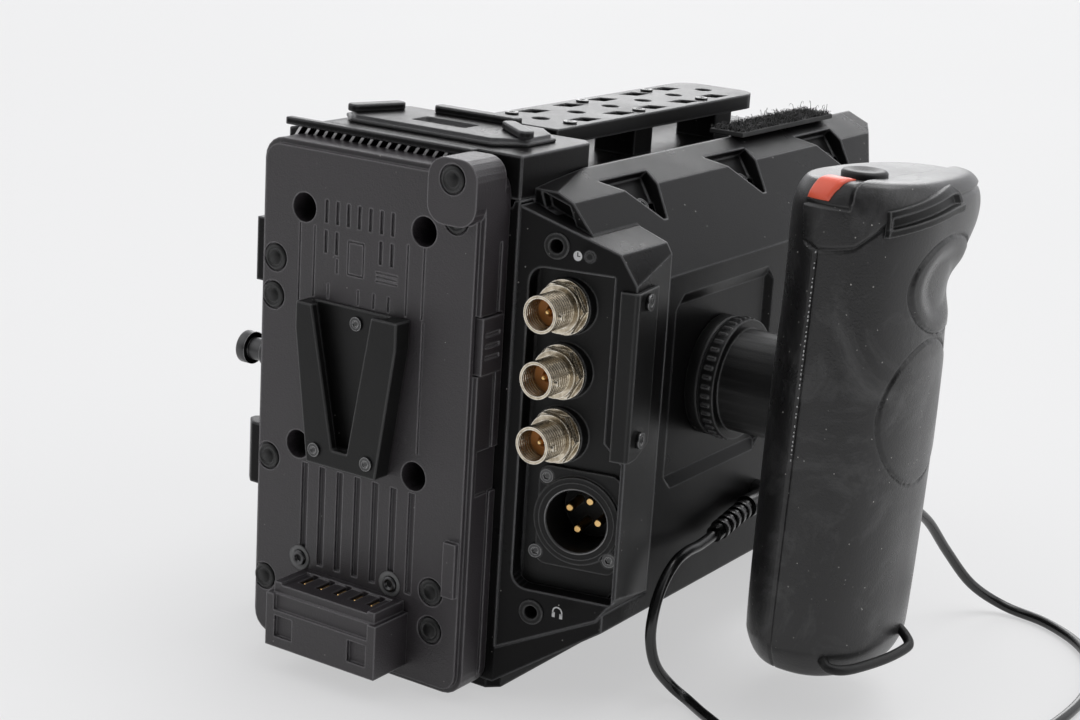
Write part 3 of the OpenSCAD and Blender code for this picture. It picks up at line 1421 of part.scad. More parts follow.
module grip_lead() {
    p = concat(smooth_route(lead_route()), [lead_route()[len(lead_route()) - 1]]);
    n = len(p);
    points = [for (i = [0:n - 1])
        let (d = lead_dir(p, i), u = cross(d, [0.13, 0.21, 0.97]), s = u / norm(u), w = cross(s, d))
        for (k = [0:lead_sides - 1])
            p[i] + lead_r * (cos(360 * (k + 0.5) / lead_sides) * s + sin(360 * (k + 0.5) / lead_sides) * w)];
    sides = [for (i = [0:n - 2]) for (k = [0:lead_sides - 1])
        let (a = i * lead_sides + k, b = i * lead_sides + (k + 1) % lead_sides)
        [a, a + lead_sides, b + lead_sides, b]];
    ends = [[for (k = [0:lead_sides - 1]) k], [for (k = [0:lead_sides - 1]) n * lead_sides - 1 - k]];
    color(soft_black) polyhedron(points = points, faces = concat(sides, ends), convexity = 8);
}

chassis();
left_cover();
front_plate();
mount_ring();
mount_screws();
throat_tube();
sensor_block();
sensor_glass();
main_board();
heat_sink();
fan_frame();
fan_rotor();
card_cage();
rear_deck();
deck_trim();
deck_bars();
top_rail();
rail_screws();
shoulder_screws();
cable_strip();
base_plate();
base_screws();
connector_block();
connector_panel();
label_cover();
label_screws();
bnc_shells();
bnc_nuts();
bnc_cores();
bnc_pins();
xlr_shell();
xlr_core();
xlr_pins();
panel_screws();
jack_bushes();
battery_plate();
vee_lock();
vee_screws();
contact_block();
contact_blades();
plate_plugs();
battery_button();
vent_comb();
left_stud();
left_guard();
rosette_disc();
grip_bolt();
lens_release();
door_hinge();
monitor_door();
monitor_glass();
grip_disc();
grip_inner();
grip_outer();
grip_cap();
grip_badge();
record_button();
zoom_rocker();
lead_plug();
grip_lead();
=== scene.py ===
import json
import math
import random

import bmesh
import bpy
from mathutils import Matrix, Vector


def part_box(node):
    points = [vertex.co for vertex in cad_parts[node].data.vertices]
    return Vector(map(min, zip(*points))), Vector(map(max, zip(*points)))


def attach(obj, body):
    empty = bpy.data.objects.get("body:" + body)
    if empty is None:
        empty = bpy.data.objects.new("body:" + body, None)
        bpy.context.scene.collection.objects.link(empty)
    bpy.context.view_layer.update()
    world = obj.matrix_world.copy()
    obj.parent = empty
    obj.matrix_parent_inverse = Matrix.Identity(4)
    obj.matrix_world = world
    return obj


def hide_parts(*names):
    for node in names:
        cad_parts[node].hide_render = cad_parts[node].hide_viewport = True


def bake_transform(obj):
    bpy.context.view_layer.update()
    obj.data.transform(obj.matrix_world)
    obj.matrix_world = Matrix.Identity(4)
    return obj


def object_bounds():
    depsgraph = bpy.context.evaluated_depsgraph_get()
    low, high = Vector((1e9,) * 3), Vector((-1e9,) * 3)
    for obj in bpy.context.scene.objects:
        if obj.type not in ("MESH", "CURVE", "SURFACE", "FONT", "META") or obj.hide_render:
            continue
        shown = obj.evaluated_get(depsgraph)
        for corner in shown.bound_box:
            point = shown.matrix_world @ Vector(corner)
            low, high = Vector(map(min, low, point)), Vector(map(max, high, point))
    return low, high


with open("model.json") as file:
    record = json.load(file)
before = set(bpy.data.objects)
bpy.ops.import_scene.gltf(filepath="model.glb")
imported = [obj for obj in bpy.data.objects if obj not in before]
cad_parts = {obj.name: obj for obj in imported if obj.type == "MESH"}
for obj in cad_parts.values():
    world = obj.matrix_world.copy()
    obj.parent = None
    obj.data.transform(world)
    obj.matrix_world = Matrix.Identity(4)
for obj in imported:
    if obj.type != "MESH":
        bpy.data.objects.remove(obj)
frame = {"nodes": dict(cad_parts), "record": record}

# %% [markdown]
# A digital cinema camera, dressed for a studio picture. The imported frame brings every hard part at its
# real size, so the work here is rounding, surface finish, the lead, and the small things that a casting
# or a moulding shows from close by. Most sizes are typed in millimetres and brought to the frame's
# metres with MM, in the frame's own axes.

MM = 0.001
scene = bpy.context.scene
nodes = frame["nodes"]
cad_low, cad_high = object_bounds()
print("frame box", [round(v, 4) for v in cad_low], [round(v, 4) for v in cad_high])

# %% [markdown]
# The camera comes first. The photograph was taken from behind and above, on the grip's side, with a
# short telephoto lens and the horizon tipped a little. The turn, the tilt and the tip are given as
# angles, and the three axes of the view follow from them.

# %% Camera at the photograph's viewpoint
VIEW_TURN, VIEW_TILT, VIEW_TIP = math.radians(33), math.radians(15.5), math.radians(-3.5)
EYE = Vector((314.7, -510.5, 236.0)) * MM
LENS_MM, SENSOR_MM = 70, 36

ahead = Vector((-math.sin(VIEW_TURN) * math.cos(VIEW_TILT),
                math.cos(VIEW_TURN) * math.cos(VIEW_TILT), -math.sin(VIEW_TILT)))
level = Vector((math.cos(VIEW_TURN), math.sin(VIEW_TURN), 0))
down = -level.cross(ahead)
right = math.cos(VIEW_TIP) * level + math.sin(VIEW_TIP) * down
below = -math.sin(VIEW_TIP) * level + math.cos(VIEW_TIP) * down
camera_data = bpy.data.cameras.new("studio_camera")
camera_data.lens, camera_data.sensor_width = LENS_MM, SENSOR_MM
camera = bpy.data.objects.new("studio_camera", camera_data)
camera.matrix_world = Matrix.Translation(EYE) @ Matrix((right, -below, -ahead)).transposed().to_4x4()
scene.collection.objects.link(camera)
scene.camera = camera
scene.view_settings.view_transform = "Standard"
print("camera at", [round(v, 3) for v in EYE])

# %% [markdown]
# The thin lead is limp rubber. It leaves the angled plug on the body's side, drops to the table, swings
# out in one loose loop and climbs into the front of the grip. A bevelled curve object could make it too.
# Here a tube is built along a smooth line through listed points, because the same line then gives
# the cord its path and its measured length.

# %% Route of the lead, and a smooth line through points
LEAD_WIDTH = 3.0 * MM
LEAD_STEPS = 6
LEAD_ROUTE = [
    (61, -27, 38.7), (61, -30.5, 38.1), (61.2, -36, 37.8), (61.4, -42, 38), (61.8, -49, 37), (62, -55, 33),
    (62.2, -59, 27), (62.5, -60.5, 19), (63.5, -58.5, 11), (66, -54, 4.5), (72, -54, 1.6), (80, -59, 1.6),
    (92, -65, 1.6), (106, -67, 1.6), (122, -62, 1.6), (135, -52, 1.6), (145, -38, 1.6), (151, -20, 1.6),
    (154, 0, 1.6), (154, 20, 1.6), (150, 40, 1.6), (140, 56, 1.6), (126, 66, 1.6), (112, 68, 2.5),
    (103, 62, 9), (98, 52, 21), (96, 40, 33), (95, 28, 40.5), (95, 18, 44), (95, 10.5, 44.9), (95, 6, 45.1)]


def smooth_line(points, steps):
    """Points of a smooth line that passes through all the given ones."""
    line = []
    for i in range(len(points) - 1):
        a, b, c, d = (points[min(max(i + k, 0), len(points) - 1)] for k in (-1, 0, 1, 2))
        for k in range(steps):
            t = k / steps
            line.append(0.5 * (2 * b + (c - a) * t + (2 * a - 5 * b + 4 * c - d) * t * t
                               + (3 * b - a - 3 * c + d) * t ** 3))
    return line + [points[-1]]


def line_length(line):
    return sum((b - a).length for a, b in zip(line, line[1:]))


lead_line = smooth_line([Vector(p) * MM for p in LEAD_ROUTE], LEAD_STEPS)
print("lead line", len(lead_line), "points", round(line_length(lead_line), 3), "m")

# %% A mesh from points, and a tube along a line


def new_mesh(name, points, faces, smooth=False):
    """A mesh object from points in metres."""
    data = bpy.data.meshes.new(name)
    data.from_pydata([tuple(p) for p in points], [], faces)
    data.update()
    for polygon in data.polygons:
        polygon.use_smooth = smooth
    piece = bpy.data.objects.new(name, data)
    scene.collection.objects.link(piece)
    return piece


def sleeve(rows, around, start=0):
    """Faces that join rows of points into a closed sleeve."""
    faces = []
    for i in range(rows - 1):
        for k in range(around):
            a, b = start + i * around + k, start + i * around + (k + 1) % around
            faces.append((a, b, b + around, a + around))
    return faces


def tube(name, line, width, sides=16):
    """A round tube along a line, with closed ends, as a smooth mesh."""
    points = []
    side = Vector((0, 0, 1))
    for i, place in enumerate(line):
        along = (line[min(i + 1, len(line) - 1)] - line[max(i - 1, 0)]).normalized()
        side = (side - along * side.dot(along)).normalized()
        other = along.cross(side)
        for k in range(sides):
            turn = math.tau * k / sides
            points.append(place + width / 2 * (math.cos(turn) * side + math.sin(turn) * other))
    ends = [tuple(reversed(range(sides))), tuple(range(len(points) - sides, len(points)))]
    return new_mesh(name, points, sleeve(len(line), sides) + ends, smooth=True)


print("mesh helpers ready")

# %% The lead
lead = tube("lead", lead_line, LEAD_WIDTH)
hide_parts("grip_lead")
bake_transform(lead)
print("lead", len(lead.data.polygons), "faces")

# %% [markdown]
# The table is one very large pale plane: at this tilt the camera sees nothing but table behind the
# object. The photograph's black parts are dark toward the viewer and pale where they are seen at a flat
# angle, which says that the room behind the camera was dim and the far side and ceiling were white. The
# world has that same simple gradient.

# %% Table and lamps
TABLE_HALF = 12.0
LAMPS = {"key": ((0.15, 0.45, 1.25), 0.95, 38), "fill": ((-0.9, -0.8, 0.8), 0.45, 60),
         "low_rim": ((-0.55, 1.0, 0.45), 0.55, 30), "side": ((1.0, 0.35, 0.5), 0.5, 50)}
table_corners = [(x * TABLE_HALF, y * TABLE_HALF, cad_low[2])
                 for x, y in ((-1, -1), (1, -1), (1, 1), (-1, 1))]
table_top = new_mesh("table_top", table_corners, [(0, 1, 2, 3)])
for name, (source, strength, spread) in LAMPS.items():
    lamp = bpy.data.lights.new(name, "SUN")
    lamp.energy, lamp.angle = strength, math.radians(spread)
    holder = bpy.data.objects.new(name, lamp)
    holder.rotation_euler = Vector(source).to_track_quat("Z", "Y").to_euler()
    scene.collection.objects.link(holder)
print("lamps", len(LAMPS))

# %% A world that is dim behind the camera
BRIGHT_WAY = Vector((-0.42, 0.72, 0.55)).normalized()
SKY_COLOUR = (0.97, 0.975, 1.0, 1)
SKY_FADE = {"From Min": -0.25, "From Max": 0.75, "To Min": 0.07, "To Max": 1.0}
world = bpy.data.worlds.new("studio")
scene.world = world
world.use_nodes = True
sky = world.node_tree
facing = sky.nodes.new("ShaderNodeVectorMath")
facing.operation = "DOT_PRODUCT"
facing.inputs[1].default_value = BRIGHT_WAY
sky.links.new(sky.nodes.new("ShaderNodeTexCoord").outputs["Generated"], facing.inputs[0])
fade = sky.nodes.new("ShaderNodeMapRange")
for label, value in SKY_FADE.items():
    fade.inputs[label].default_value = value
sky.links.new(facing.outputs["Value"], fade.inputs["Value"])
sky.nodes["Background"].inputs["Color"].default_value = SKY_COLOUR
sky.links.new(fade.outputs["Result"], sky.nodes["Background"].inputs["Strength"])
print("sky strength from", SKY_FADE["To Min"], "to", SKY_FADE["To Max"])

# %% [markdown]
# Surface effects that several finishes share are built once, as node groups: a fine grain for paint and
# moulded plastic, pale dust specks, a pale line along edges that is painted highlight and partly wear,
# broad smudges left by hands, and the fine rings of turned metal. A group gives masks and heights; each
# material decides what to do with them.

# %% Node group helpers
BEVEL_SAMPLES = 4


def link(tree, source, target):
    tree.links.new(source, target)


def node(tree, kind, **values):
    """A shader node; a value names one of its properties, or else one of its input sockets."""
    made = tree.nodes.new(kind)
    for key, value in values.items():
        if hasattr(made, key):
            setattr(made, key, value)
        else:
            made.inputs[key.replace("_", " ")].default_value = value
    return made


def new_group(name, inputs, outputs):
    """A node group with float inputs of given default values, and float outputs."""
    group = bpy.data.node_groups.new(name, "ShaderNodeTree")
    for label, default in inputs.items():
        socket = group.interface.new_socket(name=label, in_out="INPUT", socket_type="NodeSocketFloat")
        socket.default_value = default
    for label in outputs:
        group.interface.new_socket(name=label, in_out="OUTPUT", socket_type="NodeSocketFloat")
    return group, group.nodes.new("NodeGroupInput"), group.nodes.new("NodeGroupOutput")


def texture(tree, kind, scale, **values):
    """A texture laid over the object's own space, with its scale from a socket."""
    made = node(tree, kind, **values)
    link(tree, node(tree, "ShaderNodeTexCoord").outputs["Object"], made.inputs["Vector"])
    link(tree, scale, made.inputs["Scale"])
    return made


def maths(tree, operation, a, b=None, **values):
    """Output of a Math node, each of whose two inputs is a socket or a plain number."""
    made = node(tree, "ShaderNodeMath", operation=operation, **values)
    for socket, value in zip(made.inputs, (a, b)):
        if isinstance(value, bpy.types.NodeSocket):
            link(tree, value, socket)
        elif value is not None:
            socket.default_value = value
    return made.outputs[0]


def times(tree, a, b):
    return maths(tree, "MULTIPLY", a, b)


print("node helpers ready")

# %% Grain: a fine height and a broad tone
GRAIN_INPUTS = {"Scale": 2500.0, "Patch Scale": 60.0}
TONE_LOW, TONE_HIGH = 0.3, 0.7
grain_group, given, result = new_group("fine_grain", GRAIN_INPUTS, ["Height", "Tone"])
fine = texture(grain_group, "ShaderNodeTexNoise", given.outputs["Scale"], Detail=3.0, Roughness=0.6)
broad = texture(grain_group, "ShaderNodeTexNoise", given.outputs["Patch Scale"], Detail=4.0, Roughness=0.55)
tone = node(grain_group, "ShaderNodeMapRange", clamp=True, From_Min=TONE_LOW, From_Max=TONE_HIGH)
link(grain_group, broad.outputs["Fac"], tone.inputs["Value"])
link(grain_group, fine.outputs["Fac"], result.inputs["Height"])
link(grain_group, tone.outputs["Result"], result.inputs["Tone"])
print("group", grain_group.name)

# %% Dust: a few of a pattern's cells hold a pale speck
DUST_INPUTS = {"Scale": 620.0, "Amount": 0.2, "Speck Size": 0.13}
dust_group, given, result = new_group("dust_specks", DUST_INPUTS, ["Mask"])
cells = texture(dust_group, "ShaderNodeTexVoronoi", given.outputs["Scale"], feature="F1")
split = node(dust_group, "ShaderNodeSeparateColor")
link(dust_group, cells.outputs["Color"], split.inputs["Color"])
inside = maths(dust_group, "LESS_THAN", cells.outputs["Distance"], given.outputs["Speck Size"])
chosen = maths(dust_group, "LESS_THAN", split.outputs["Red"], given.outputs["Amount"])
speck = times(dust_group, inside, chosen)
link(dust_group, times(dust_group, speck, split.outputs["Green"]), result.inputs["Mask"])
print("group", dust_group.name)

# %% Painted edge highlight, partly wear: where a rounded normal leaves the plain one
edge_group, given, result = new_group("edge_highlight_and_wear", {"Radius": 0.0005, "Gain": 6.0}, ["Mask"])
rounded = node(edge_group, "ShaderNodeBevel", samples=BEVEL_SAMPLES)
link(edge_group, given.outputs["Radius"], rounded.inputs["Radius"])
match = node(edge_group, "ShaderNodeVectorMath", operation="DOT_PRODUCT")
link(edge_group, rounded.outputs["Normal"], match.inputs[0])
link(edge_group, node(edge_group, "ShaderNodeNewGeometry").outputs["Normal"], match.inputs[1])
leaving = maths(edge_group, "SUBTRACT", 1.0, match.outputs["Value"])
# The mask marks where a painted highlight, partly wear, is laid along edges.
highlight_wear_mask = maths(edge_group, "MULTIPLY", leaving, given.outputs["Gain"], use_clamp=True)
link(edge_group, highlight_wear_mask, result.inputs["Mask"])
print("group", edge_group.name)

# %% Smudges: a broad cloud with soft limits
SMUDGE_INPUTS = {"Scale": 35.0, "Low": 0.52, "High": 0.75}
smudge_group, given, result = new_group("hand_smudges", SMUDGE_INPUTS, ["Mask"])
cloud = texture(smudge_group, "ShaderNodeTexNoise", given.outputs["Scale"],
                Detail=7.0, Roughness=0.7, Distortion=1.2)
limits = node(smudge_group, "ShaderNodeMapRange", clamp=True)
link(smudge_group, cloud.outputs["Fac"], limits.inputs["Value"])
link(smudge_group, given.outputs["Low"], limits.inputs["From Min"])
link(smudge_group, given.outputs["High"], limits.inputs["From Max"])
link(smudge_group, limits.outputs["Result"], result.inputs["Mask"])
print("group", smudge_group.name)

# %% Turned rings: a wave along the jacks' axis, its pitch in millimetres
turned_group, given, result = new_group("turned_rings", {"Pitch": 0.8}, ["Height"])
axes = node(turned_group, "ShaderNodeSeparateXYZ")
link(turned_group, node(turned_group, "ShaderNodeTexCoord").outputs["Object"], axes.inputs["Vector"])
per_metre = maths(turned_group, "DIVIDE", math.tau / MM, given.outputs["Pitch"])
wave = maths(turned_group, "SINE", times(turned_group, axes.outputs["Y"], per_metre))
link(turned_group, wave, result.inputs["Height"])
print("group", turned_group.name)

# %% [markdown]
# A finish is one material made from these groups. The base colour is varied a little by the broad tone,
# then smudges, a painted highlight along the edges (partly wear) and dust are laid over it. The grain goes
# to a Bump node. What is the same all over, such as the metal's shine, is set on the shader itself.

# %% A finish from the groups
DUST_COLOUR, SMUDGE_COLOUR = (0.42, 0.41, 0.39, 1), (0.2, 0.2, 0.2, 1)
BUMP_DISTANCE = 0.3 * MM


def use_group(tree, group, **values):
    return node(tree, "ShaderNodeGroup", node_tree=group, **values)


def mixed(tree, mask, under, over):
    """Colour under, with colour over laid on where the mask is. A colour is a socket or four numbers."""
    made = node(tree, "ShaderNodeMix", data_type="RGBA")
    link(tree, mask, made.inputs["Factor"])
    colour_in = [s for s in made.inputs if s.type == "RGBA"]
    for socket, value in zip(colour_in, (under, over)):
        if isinstance(value, bpy.types.NodeSocket):
            link(tree, value, socket)
        else:
            socket.default_value = value
    return [s for s in made.outputs if s.type == "RGBA"][0]


def finish(name, colour, second, roughness, rougher, grain=2500.0, patch=60.0, depth=0.05, dust=0.0,
           edge=None, edge_gain=6.0, edge_wide=0.5, soft=0.0, smudge=0.0, turned=0.0, metallic=0.0,
           shine=0.5, sheen=0.0):
    """A material: colour varied towards second, roughness towards rougher, and the shared effects."""
    made = bpy.data.materials.new(name)
    made.use_nodes = True
    tree = made.node_tree
    shader = tree.nodes["Principled BSDF"]
    for label, value in (("Metallic", metallic), ("Specular IOR Level", shine), ("Sheen Weight", sheen)):
        shader.inputs[label].default_value = value
    grains = use_group(tree, grain_group, Scale=grain, Patch_Scale=patch)
    base = mixed(tree, grains.outputs["Tone"], (*colour, 1), (*second, 1))
    if smudge:
        smudged = times(tree, use_group(tree, smudge_group).outputs["Mask"], smudge)
        base = mixed(tree, smudged, base, SMUDGE_COLOUR)
    # The edge colour is a painted highlight along the edges, partly real wear.
    if edge:
        edge_highlight_wear = use_group(tree, edge_group, Gain=edge_gain, Radius=edge_wide * MM)
        base = mixed(tree, edge_highlight_wear.outputs["Mask"], base, (*edge, 1))
    if dust:
        specks = use_group(tree, dust_group, Amount=dust)
        base = mixed(tree, specks.outputs["Mask"], base, DUST_COLOUR)
    link(tree, base, shader.inputs["Base Color"])
    rough = node(tree, "ShaderNodeMapRange", To_Min=roughness, To_Max=rougher)
    link(tree, grains.outputs["Tone"], rough.inputs["Value"])
    link(tree, rough.outputs["Result"], shader.inputs["Roughness"])
    bump = node(tree, "ShaderNodeBump", Strength=depth, Distance=BUMP_DISTANCE)
    height = grains.outputs["Height"]
    if turned:
        height = use_group(tree, turned_group, Pitch=turned).outputs["Height"]
    link(tree, height, bump.inputs["Height"])
    if soft:
        corner = node(tree, "ShaderNodeBevel", samples=BEVEL_SAMPLES, Radius=soft * MM)
        link(tree, corner.outputs["Normal"], bump.inputs["Normal"])
    link(tree, bump.outputs["Normal"], shader.inputs["Normal"])
    return made


print("finish can use", len(bpy.data.node_groups), "groups")

# %% Finishes by material slot


def grey(value):
    return (value, value, value)


# Each finish's edge colour is a painted highlight along its edges, partly wear.
finishes = {
    "black_paint": finish("satin_black_casting", (0.0050, 0.0048, 0.0050), (0.0085, 0.0082, 0.0085),
                          0.26, 0.36, depth=0.22, dust=0.06, edge=(0.26, 0.26, 0.265), edge_gain=8.0,
                          edge_wide=1.0, soft=1.1, shine=0.13),
    "black_plastic": finish("moulded_black", grey(0.008), grey(0.012), 0.3, 0.42,
                            depth=0.3, dust=0.02, edge=grey(0.2), edge_gain=7.0, edge_wide=0.8, soft=0.7,
                            shine=0.25),
    "grey_plastic": finish("charcoal_moulding", (0.027, 0.0235, 0.0265), (0.036, 0.031, 0.035), 0.3, 0.42,
                           depth=0.6, dust=0.06, edge=(0.24, 0.23, 0.24), edge_gain=8.0, edge_wide=0.7,
                           soft=0.6, shine=0.6),
    "grip_skin": finish("rubber_skin", (0.0065, 0.0062, 0.0065), (0.015, 0.0145, 0.015), 0.25, 0.37,
                        grain=1800, depth=0.3, dust=0.16, edge=grey(0.08), smudge=0.3, shine=0.55,
                        sheen=0.05),
    "red_button": finish("red_silicone", (0.95, 0.16, 0.09), (0.88, 0.12, 0.065), 0.28, 0.36, depth=0.1,
                         edge=(0.9, 0.35, 0.28), shine=0.45),
    "nickel": finish("worn_nickel", (0.66, 0.59, 0.47), (0.36, 0.30, 0.22), 0.12, 0.32, patch=700,
                     depth=0.4, edge=(0.95, 0.92, 0.84), turned=0.95, metallic=1.0),
    "steel": finish("blackened_steel", (0.06, 0.06, 0.062), grey(0.10), 0.26, 0.4, depth=0.15,
                    edge=grey(0.45), metallic=1.0),
    "gold": finish("gold_plate", (0.86, 0.60, 0.28), (0.75, 0.45, 0.15), 0.2, 0.32, depth=0.05,
                   metallic=1.0),
    "insulator": finish("tan_insulator", (0.55, 0.22, 0.05), (0.38, 0.15, 0.04), 0.4, 0.55, depth=0.1),
    "board": finish("green_laminate", (0.02, 0.09, 0.04), (0.025, 0.11, 0.05), 0.4, 0.5, depth=0.1),
    "aluminium": finish("cast_aluminium", grey(0.62), grey(0.5), 0.28, 0.42, depth=0.1, metallic=1.0),
    "dark_glass": finish("dark_glass", (0.006, 0.007, 0.009), (0.008, 0.009, 0.011), 0.05, 0.09, depth=0.01),
    "cable_rubber": finish("lead_rubber", grey(0.008), grey(0.012), 0.18, 0.26, depth=0.06, dust=0.02,
                           shine=0.6),
    "hook_fabric": finish("hook_pile", grey(0.03), grey(0.07), 0.7, 0.85, depth=0.3, dust=0.06, shine=0.3),
}
print("finishes", len(finishes))

# %% [markdown]
# The table has to look nearly white and still take the camera's shadow. Stronger lamps would bleach the
# object too, so a share of the table is a plain pale emission that only the camera and reflections see.

# %% A table that looks white from the camera
TABLE_WHITE, WHITE_SHARE = (0.83, 0.83, 0.835, 1), 0.62
table_paint = finish("pale_table", grey(0.80), grey(0.82), 0.6, 0.7, patch=2.0,
                     depth=0.02, shine=0.2)
table_top.data.materials.append(table_paint)
table_tree = table_paint.node_tree
rays = node(table_tree, "ShaderNodeLightPath")
either = maths(table_tree, "MAXIMUM", rays.outputs["Is Camera Ray"], rays.outputs["Is Glossy Ray"])
seen = node(table_tree, "ShaderNodeEmission", Color=TABLE_WHITE, Strength=1.0)
blend_in = node(table_tree, "ShaderNodeMixShader")
link(table_tree, times(table_tree, either, WHITE_SHARE), blend_in.inputs[0])
link(table_tree, table_tree.nodes["Principled BSDF"].outputs[0], blend_in.inputs[1])
link(table_tree, seen.outputs[0], blend_in.inputs[2])
link(table_tree, blend_in.outputs[0], table_tree.nodes["Material Output"].inputs["Surface"])
print("share of plain white on the table", WHITE_SHARE)

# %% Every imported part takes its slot's finish, but for three
OTHER_FINISH = {"deck_trim": "black_paint", "deck_bars": "black_paint", "mount_ring": "aluminium"}
for part in frame["record"]["subparts"]:
    piece = nodes[part["node"]]
    piece.data.materials.clear()
    piece.data.materials.append(finishes[OTHER_FINISH.get(part["node"], part["material_slot"])])
lead.data.materials.append(finishes["cable_rubber"])

# %% [markdown]
# No real casting or moulding has a knife edge: its corners are slightly round and catch a thin line of
# light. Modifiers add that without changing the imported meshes. The weld joins points that lie together,
# the flat faces are merged so that only true edges are left, and the bevel rounds those.

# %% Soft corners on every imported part
WELD_GAP, FLAT_TURN, CORNER_TURN, CORNER_STEPS = 1e-6, math.radians(1.0), math.radians(32), 2


def soften(piece, width=0.4):
    """Welded, cleaned and given a small rounded edge in millimetres, all as modifiers."""
    piece.modifiers.new("weld", "WELD").merge_threshold = WELD_GAP
    flat = piece.modifiers.new("flat_faces", "DECIMATE")
    flat.decimate_type, flat.angle_limit = "DISSOLVE", FLAT_TURN
    bevel = piece.modifiers.new("soft_edges", "BEVEL")
    bevel.width, bevel.segments, bevel.limit_method = width * MM, CORNER_STEPS, "ANGLE"
    bevel.angle_limit, bevel.harden_normals = CORNER_TURN, True
    bevel.use_clamp_overlap = True


for piece in nodes.values():
    soften(piece)
print("rounded", len(nodes))

# %% [markdown]
# The battery plate is a moulding with shallow marks: long grooves, short dashes, three small bars and a
# little frame. A bump map would cast no shadow in them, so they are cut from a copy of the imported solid
# with one Boolean, and light falls into them as on the real one. The copy stands in for the solid.

# %% Blocks in one mesh, and the finish of an added piece
BLOCK_FACES = [(0, 1, 3, 2), (4, 6, 7, 5), (0, 4, 5, 1), (2, 3, 7, 6), (0, 2, 6, 4), (1, 5, 7, 3)]


def blocks_mesh(name, blocks, lean=0.0):
    """Separate blocks in one mesh, each from its low and high corner in millimetres, leaning along x."""
    points, faces = [], []
    for low, high in blocks:
        start = len(points)
        points += [Vector((x + (lean if z == high[2] else 0), y, z)) * MM
                   for x in (low[0], high[0]) for y in (low[1], high[1]) for z in (low[2], high[2])]
        faces += [tuple(start + i for i in face) for face in BLOCK_FACES]
    return new_mesh(name, points, faces)


def fitted(piece, slot, body, *replaced, soft=None, paint=None):
    """Finish, slot, body and what the piece stands in for. Another paint may take the finish's place."""
    piece.data.materials.clear()
    piece.data.materials.append(paint or finishes[slot])
    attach(piece, body)
    if replaced:
        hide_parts(*replaced)
    if soft:
        soften(piece, soft)
    return piece


def carved(name, source, cutter):
    """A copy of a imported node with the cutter's blocks taken away."""
    bpy.context.view_layer.update()
    piece = bpy.data.objects.new(name, source.data.copy())
    piece.data.transform(source.matrix_world)
    scene.collection.objects.link(piece)
    piece.modifiers.new("weld", "WELD").merge_threshold = WELD_GAP
    cut = piece.modifiers.new("cut", "BOOLEAN")
    cut.object, cut.operation, cut.solver, cut.use_self = cutter, "DIFFERENCE", "EXACT", True
    bpy.context.view_layer.update()
    changed = bpy.data.meshes.new_from_object(piece.evaluated_get(bpy.context.evaluated_depsgraph_get()))
    piece.modifiers.clear()
    piece.data = changed
    bpy.data.objects.remove(cutter)
    return piece


print("block and cutting helpers ready")

# %% Marks on the battery plate
PLATE_THICK = 12
PLATE_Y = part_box("battery_plate")[1].y / MM - PLATE_THICK
CUT_OUT = PLATE_Y - 1
LONG_GROOVES, LONG_TOP = ((-32.2, 99.4), (-27.3, 101.2), (3.2, 101.6), (8.4, 101.6)), 120.3
SIDE_GROOVE, LONG_SIZE = (8.9, 66, 101), 0.5
SHORT_DASH = (-19.6, 108.8, 112.6, 0.7)
DASHES_X, DASHES_LOW, DASHES_HIGH, DASHES_WIDE = (-22.3, -12.3, -7.2, -2.4), 101.6, 105.6, 0.6
BARS, BARS_LEFT, BARS_RIGHT, BARS_LOW, BARS_GAP = 3, -6.8, 0.2, 108.9, 1.12
BAR_TALL, BAR_DEEP, MIDDLE_BAR_SHORTER = 0.45, 0.35, 0.15
FRAME_LEFT, FRAME_RIGHT, FRAME_LOW, FRAME_HIGH, FRAME_WIDE = -16, -11, 109.2, 117.9, 0.4
MARK_WIDE, MARK_DEEP = 0.55, 0.45


def mark(x, z_low, z_high, wide=MARK_WIDE, deep=MARK_DEEP):
    return ((x - wide / 2, CUT_OUT, z_low), (x + wide / 2, PLATE_Y + deep, z_high))


marks = [mark(x, low, LONG_TOP, LONG_SIZE, LONG_SIZE) for x, low in LONG_GROOVES]
marks += [mark(*SIDE_GROOVE, LONG_SIZE, LONG_SIZE), mark(*SHORT_DASH)]
marks += [mark(x, DASHES_LOW, DASHES_HIGH, DASHES_WIDE) for x in DASHES_X]
for k in range(BARS):
    bar_left, bar_low = BARS_LEFT + (MIDDLE_BAR_SHORTER if k % 2 else 0), BARS_LOW + BARS_GAP * k
    marks.append(((bar_left, CUT_OUT, bar_low), (BARS_RIGHT, PLATE_Y + BAR_DEEP, bar_low + BAR_TALL)))
marks += [mark(x, FRAME_LOW, FRAME_HIGH, FRAME_WIDE) for x in (FRAME_LEFT, FRAME_RIGHT)]
for z in (FRAME_LOW, FRAME_HIGH):
    marks.append(((FRAME_LEFT, CUT_OUT, z - FRAME_WIDE / 2),
                  (FRAME_RIGHT, PLATE_Y + MARK_DEEP, z + FRAME_WIDE / 2)))
plate = carved("plate_moulding", nodes["battery_plate"], blocks_mesh("plate_marks", marks))
fitted(plate, "grey_plastic", "root", "battery_plate", soft=0.35)
print("plate marks", len(marks), "faces", len(plate.data.polygons))

# %% [markdown]
# Turned things, such as the plate's round covers with a thin ring, are built as a lathe would, from a
# profile carried around an axis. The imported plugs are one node, so its separate parts are found first,
# and each cover is set on the face of its own plug. The parts are sorted, because a set has no order.

# %% A lathe, and the middles of a node's separate parts
LEAST_RADIUS = 0.01


def lathe(name, profile, place, axis=Vector((0, 1, 0)), sides=48):
    """A turned piece from pairs of radius and distance along the axis, in millimetres."""
    side = axis.orthogonal().normalized()
    other = axis.cross(side)
    points = []
    for radius, along in profile:
        for k in range(sides):
            turn = math.tau * k / sides
            out = math.cos(turn) * side + math.sin(turn) * other
            points.append(place + (out * max(radius, LEAST_RADIUS) + axis * along) * MM)
    faces = [(a, d, c, b) for a, b, c, d in sleeve(len(profile), sides)]
    if profile[0] != profile[-1]:
        faces += [tuple(range(sides)), tuple(reversed(range(len(points) - sides, len(points))))]
    return new_mesh(name, points, faces, smooth=True)


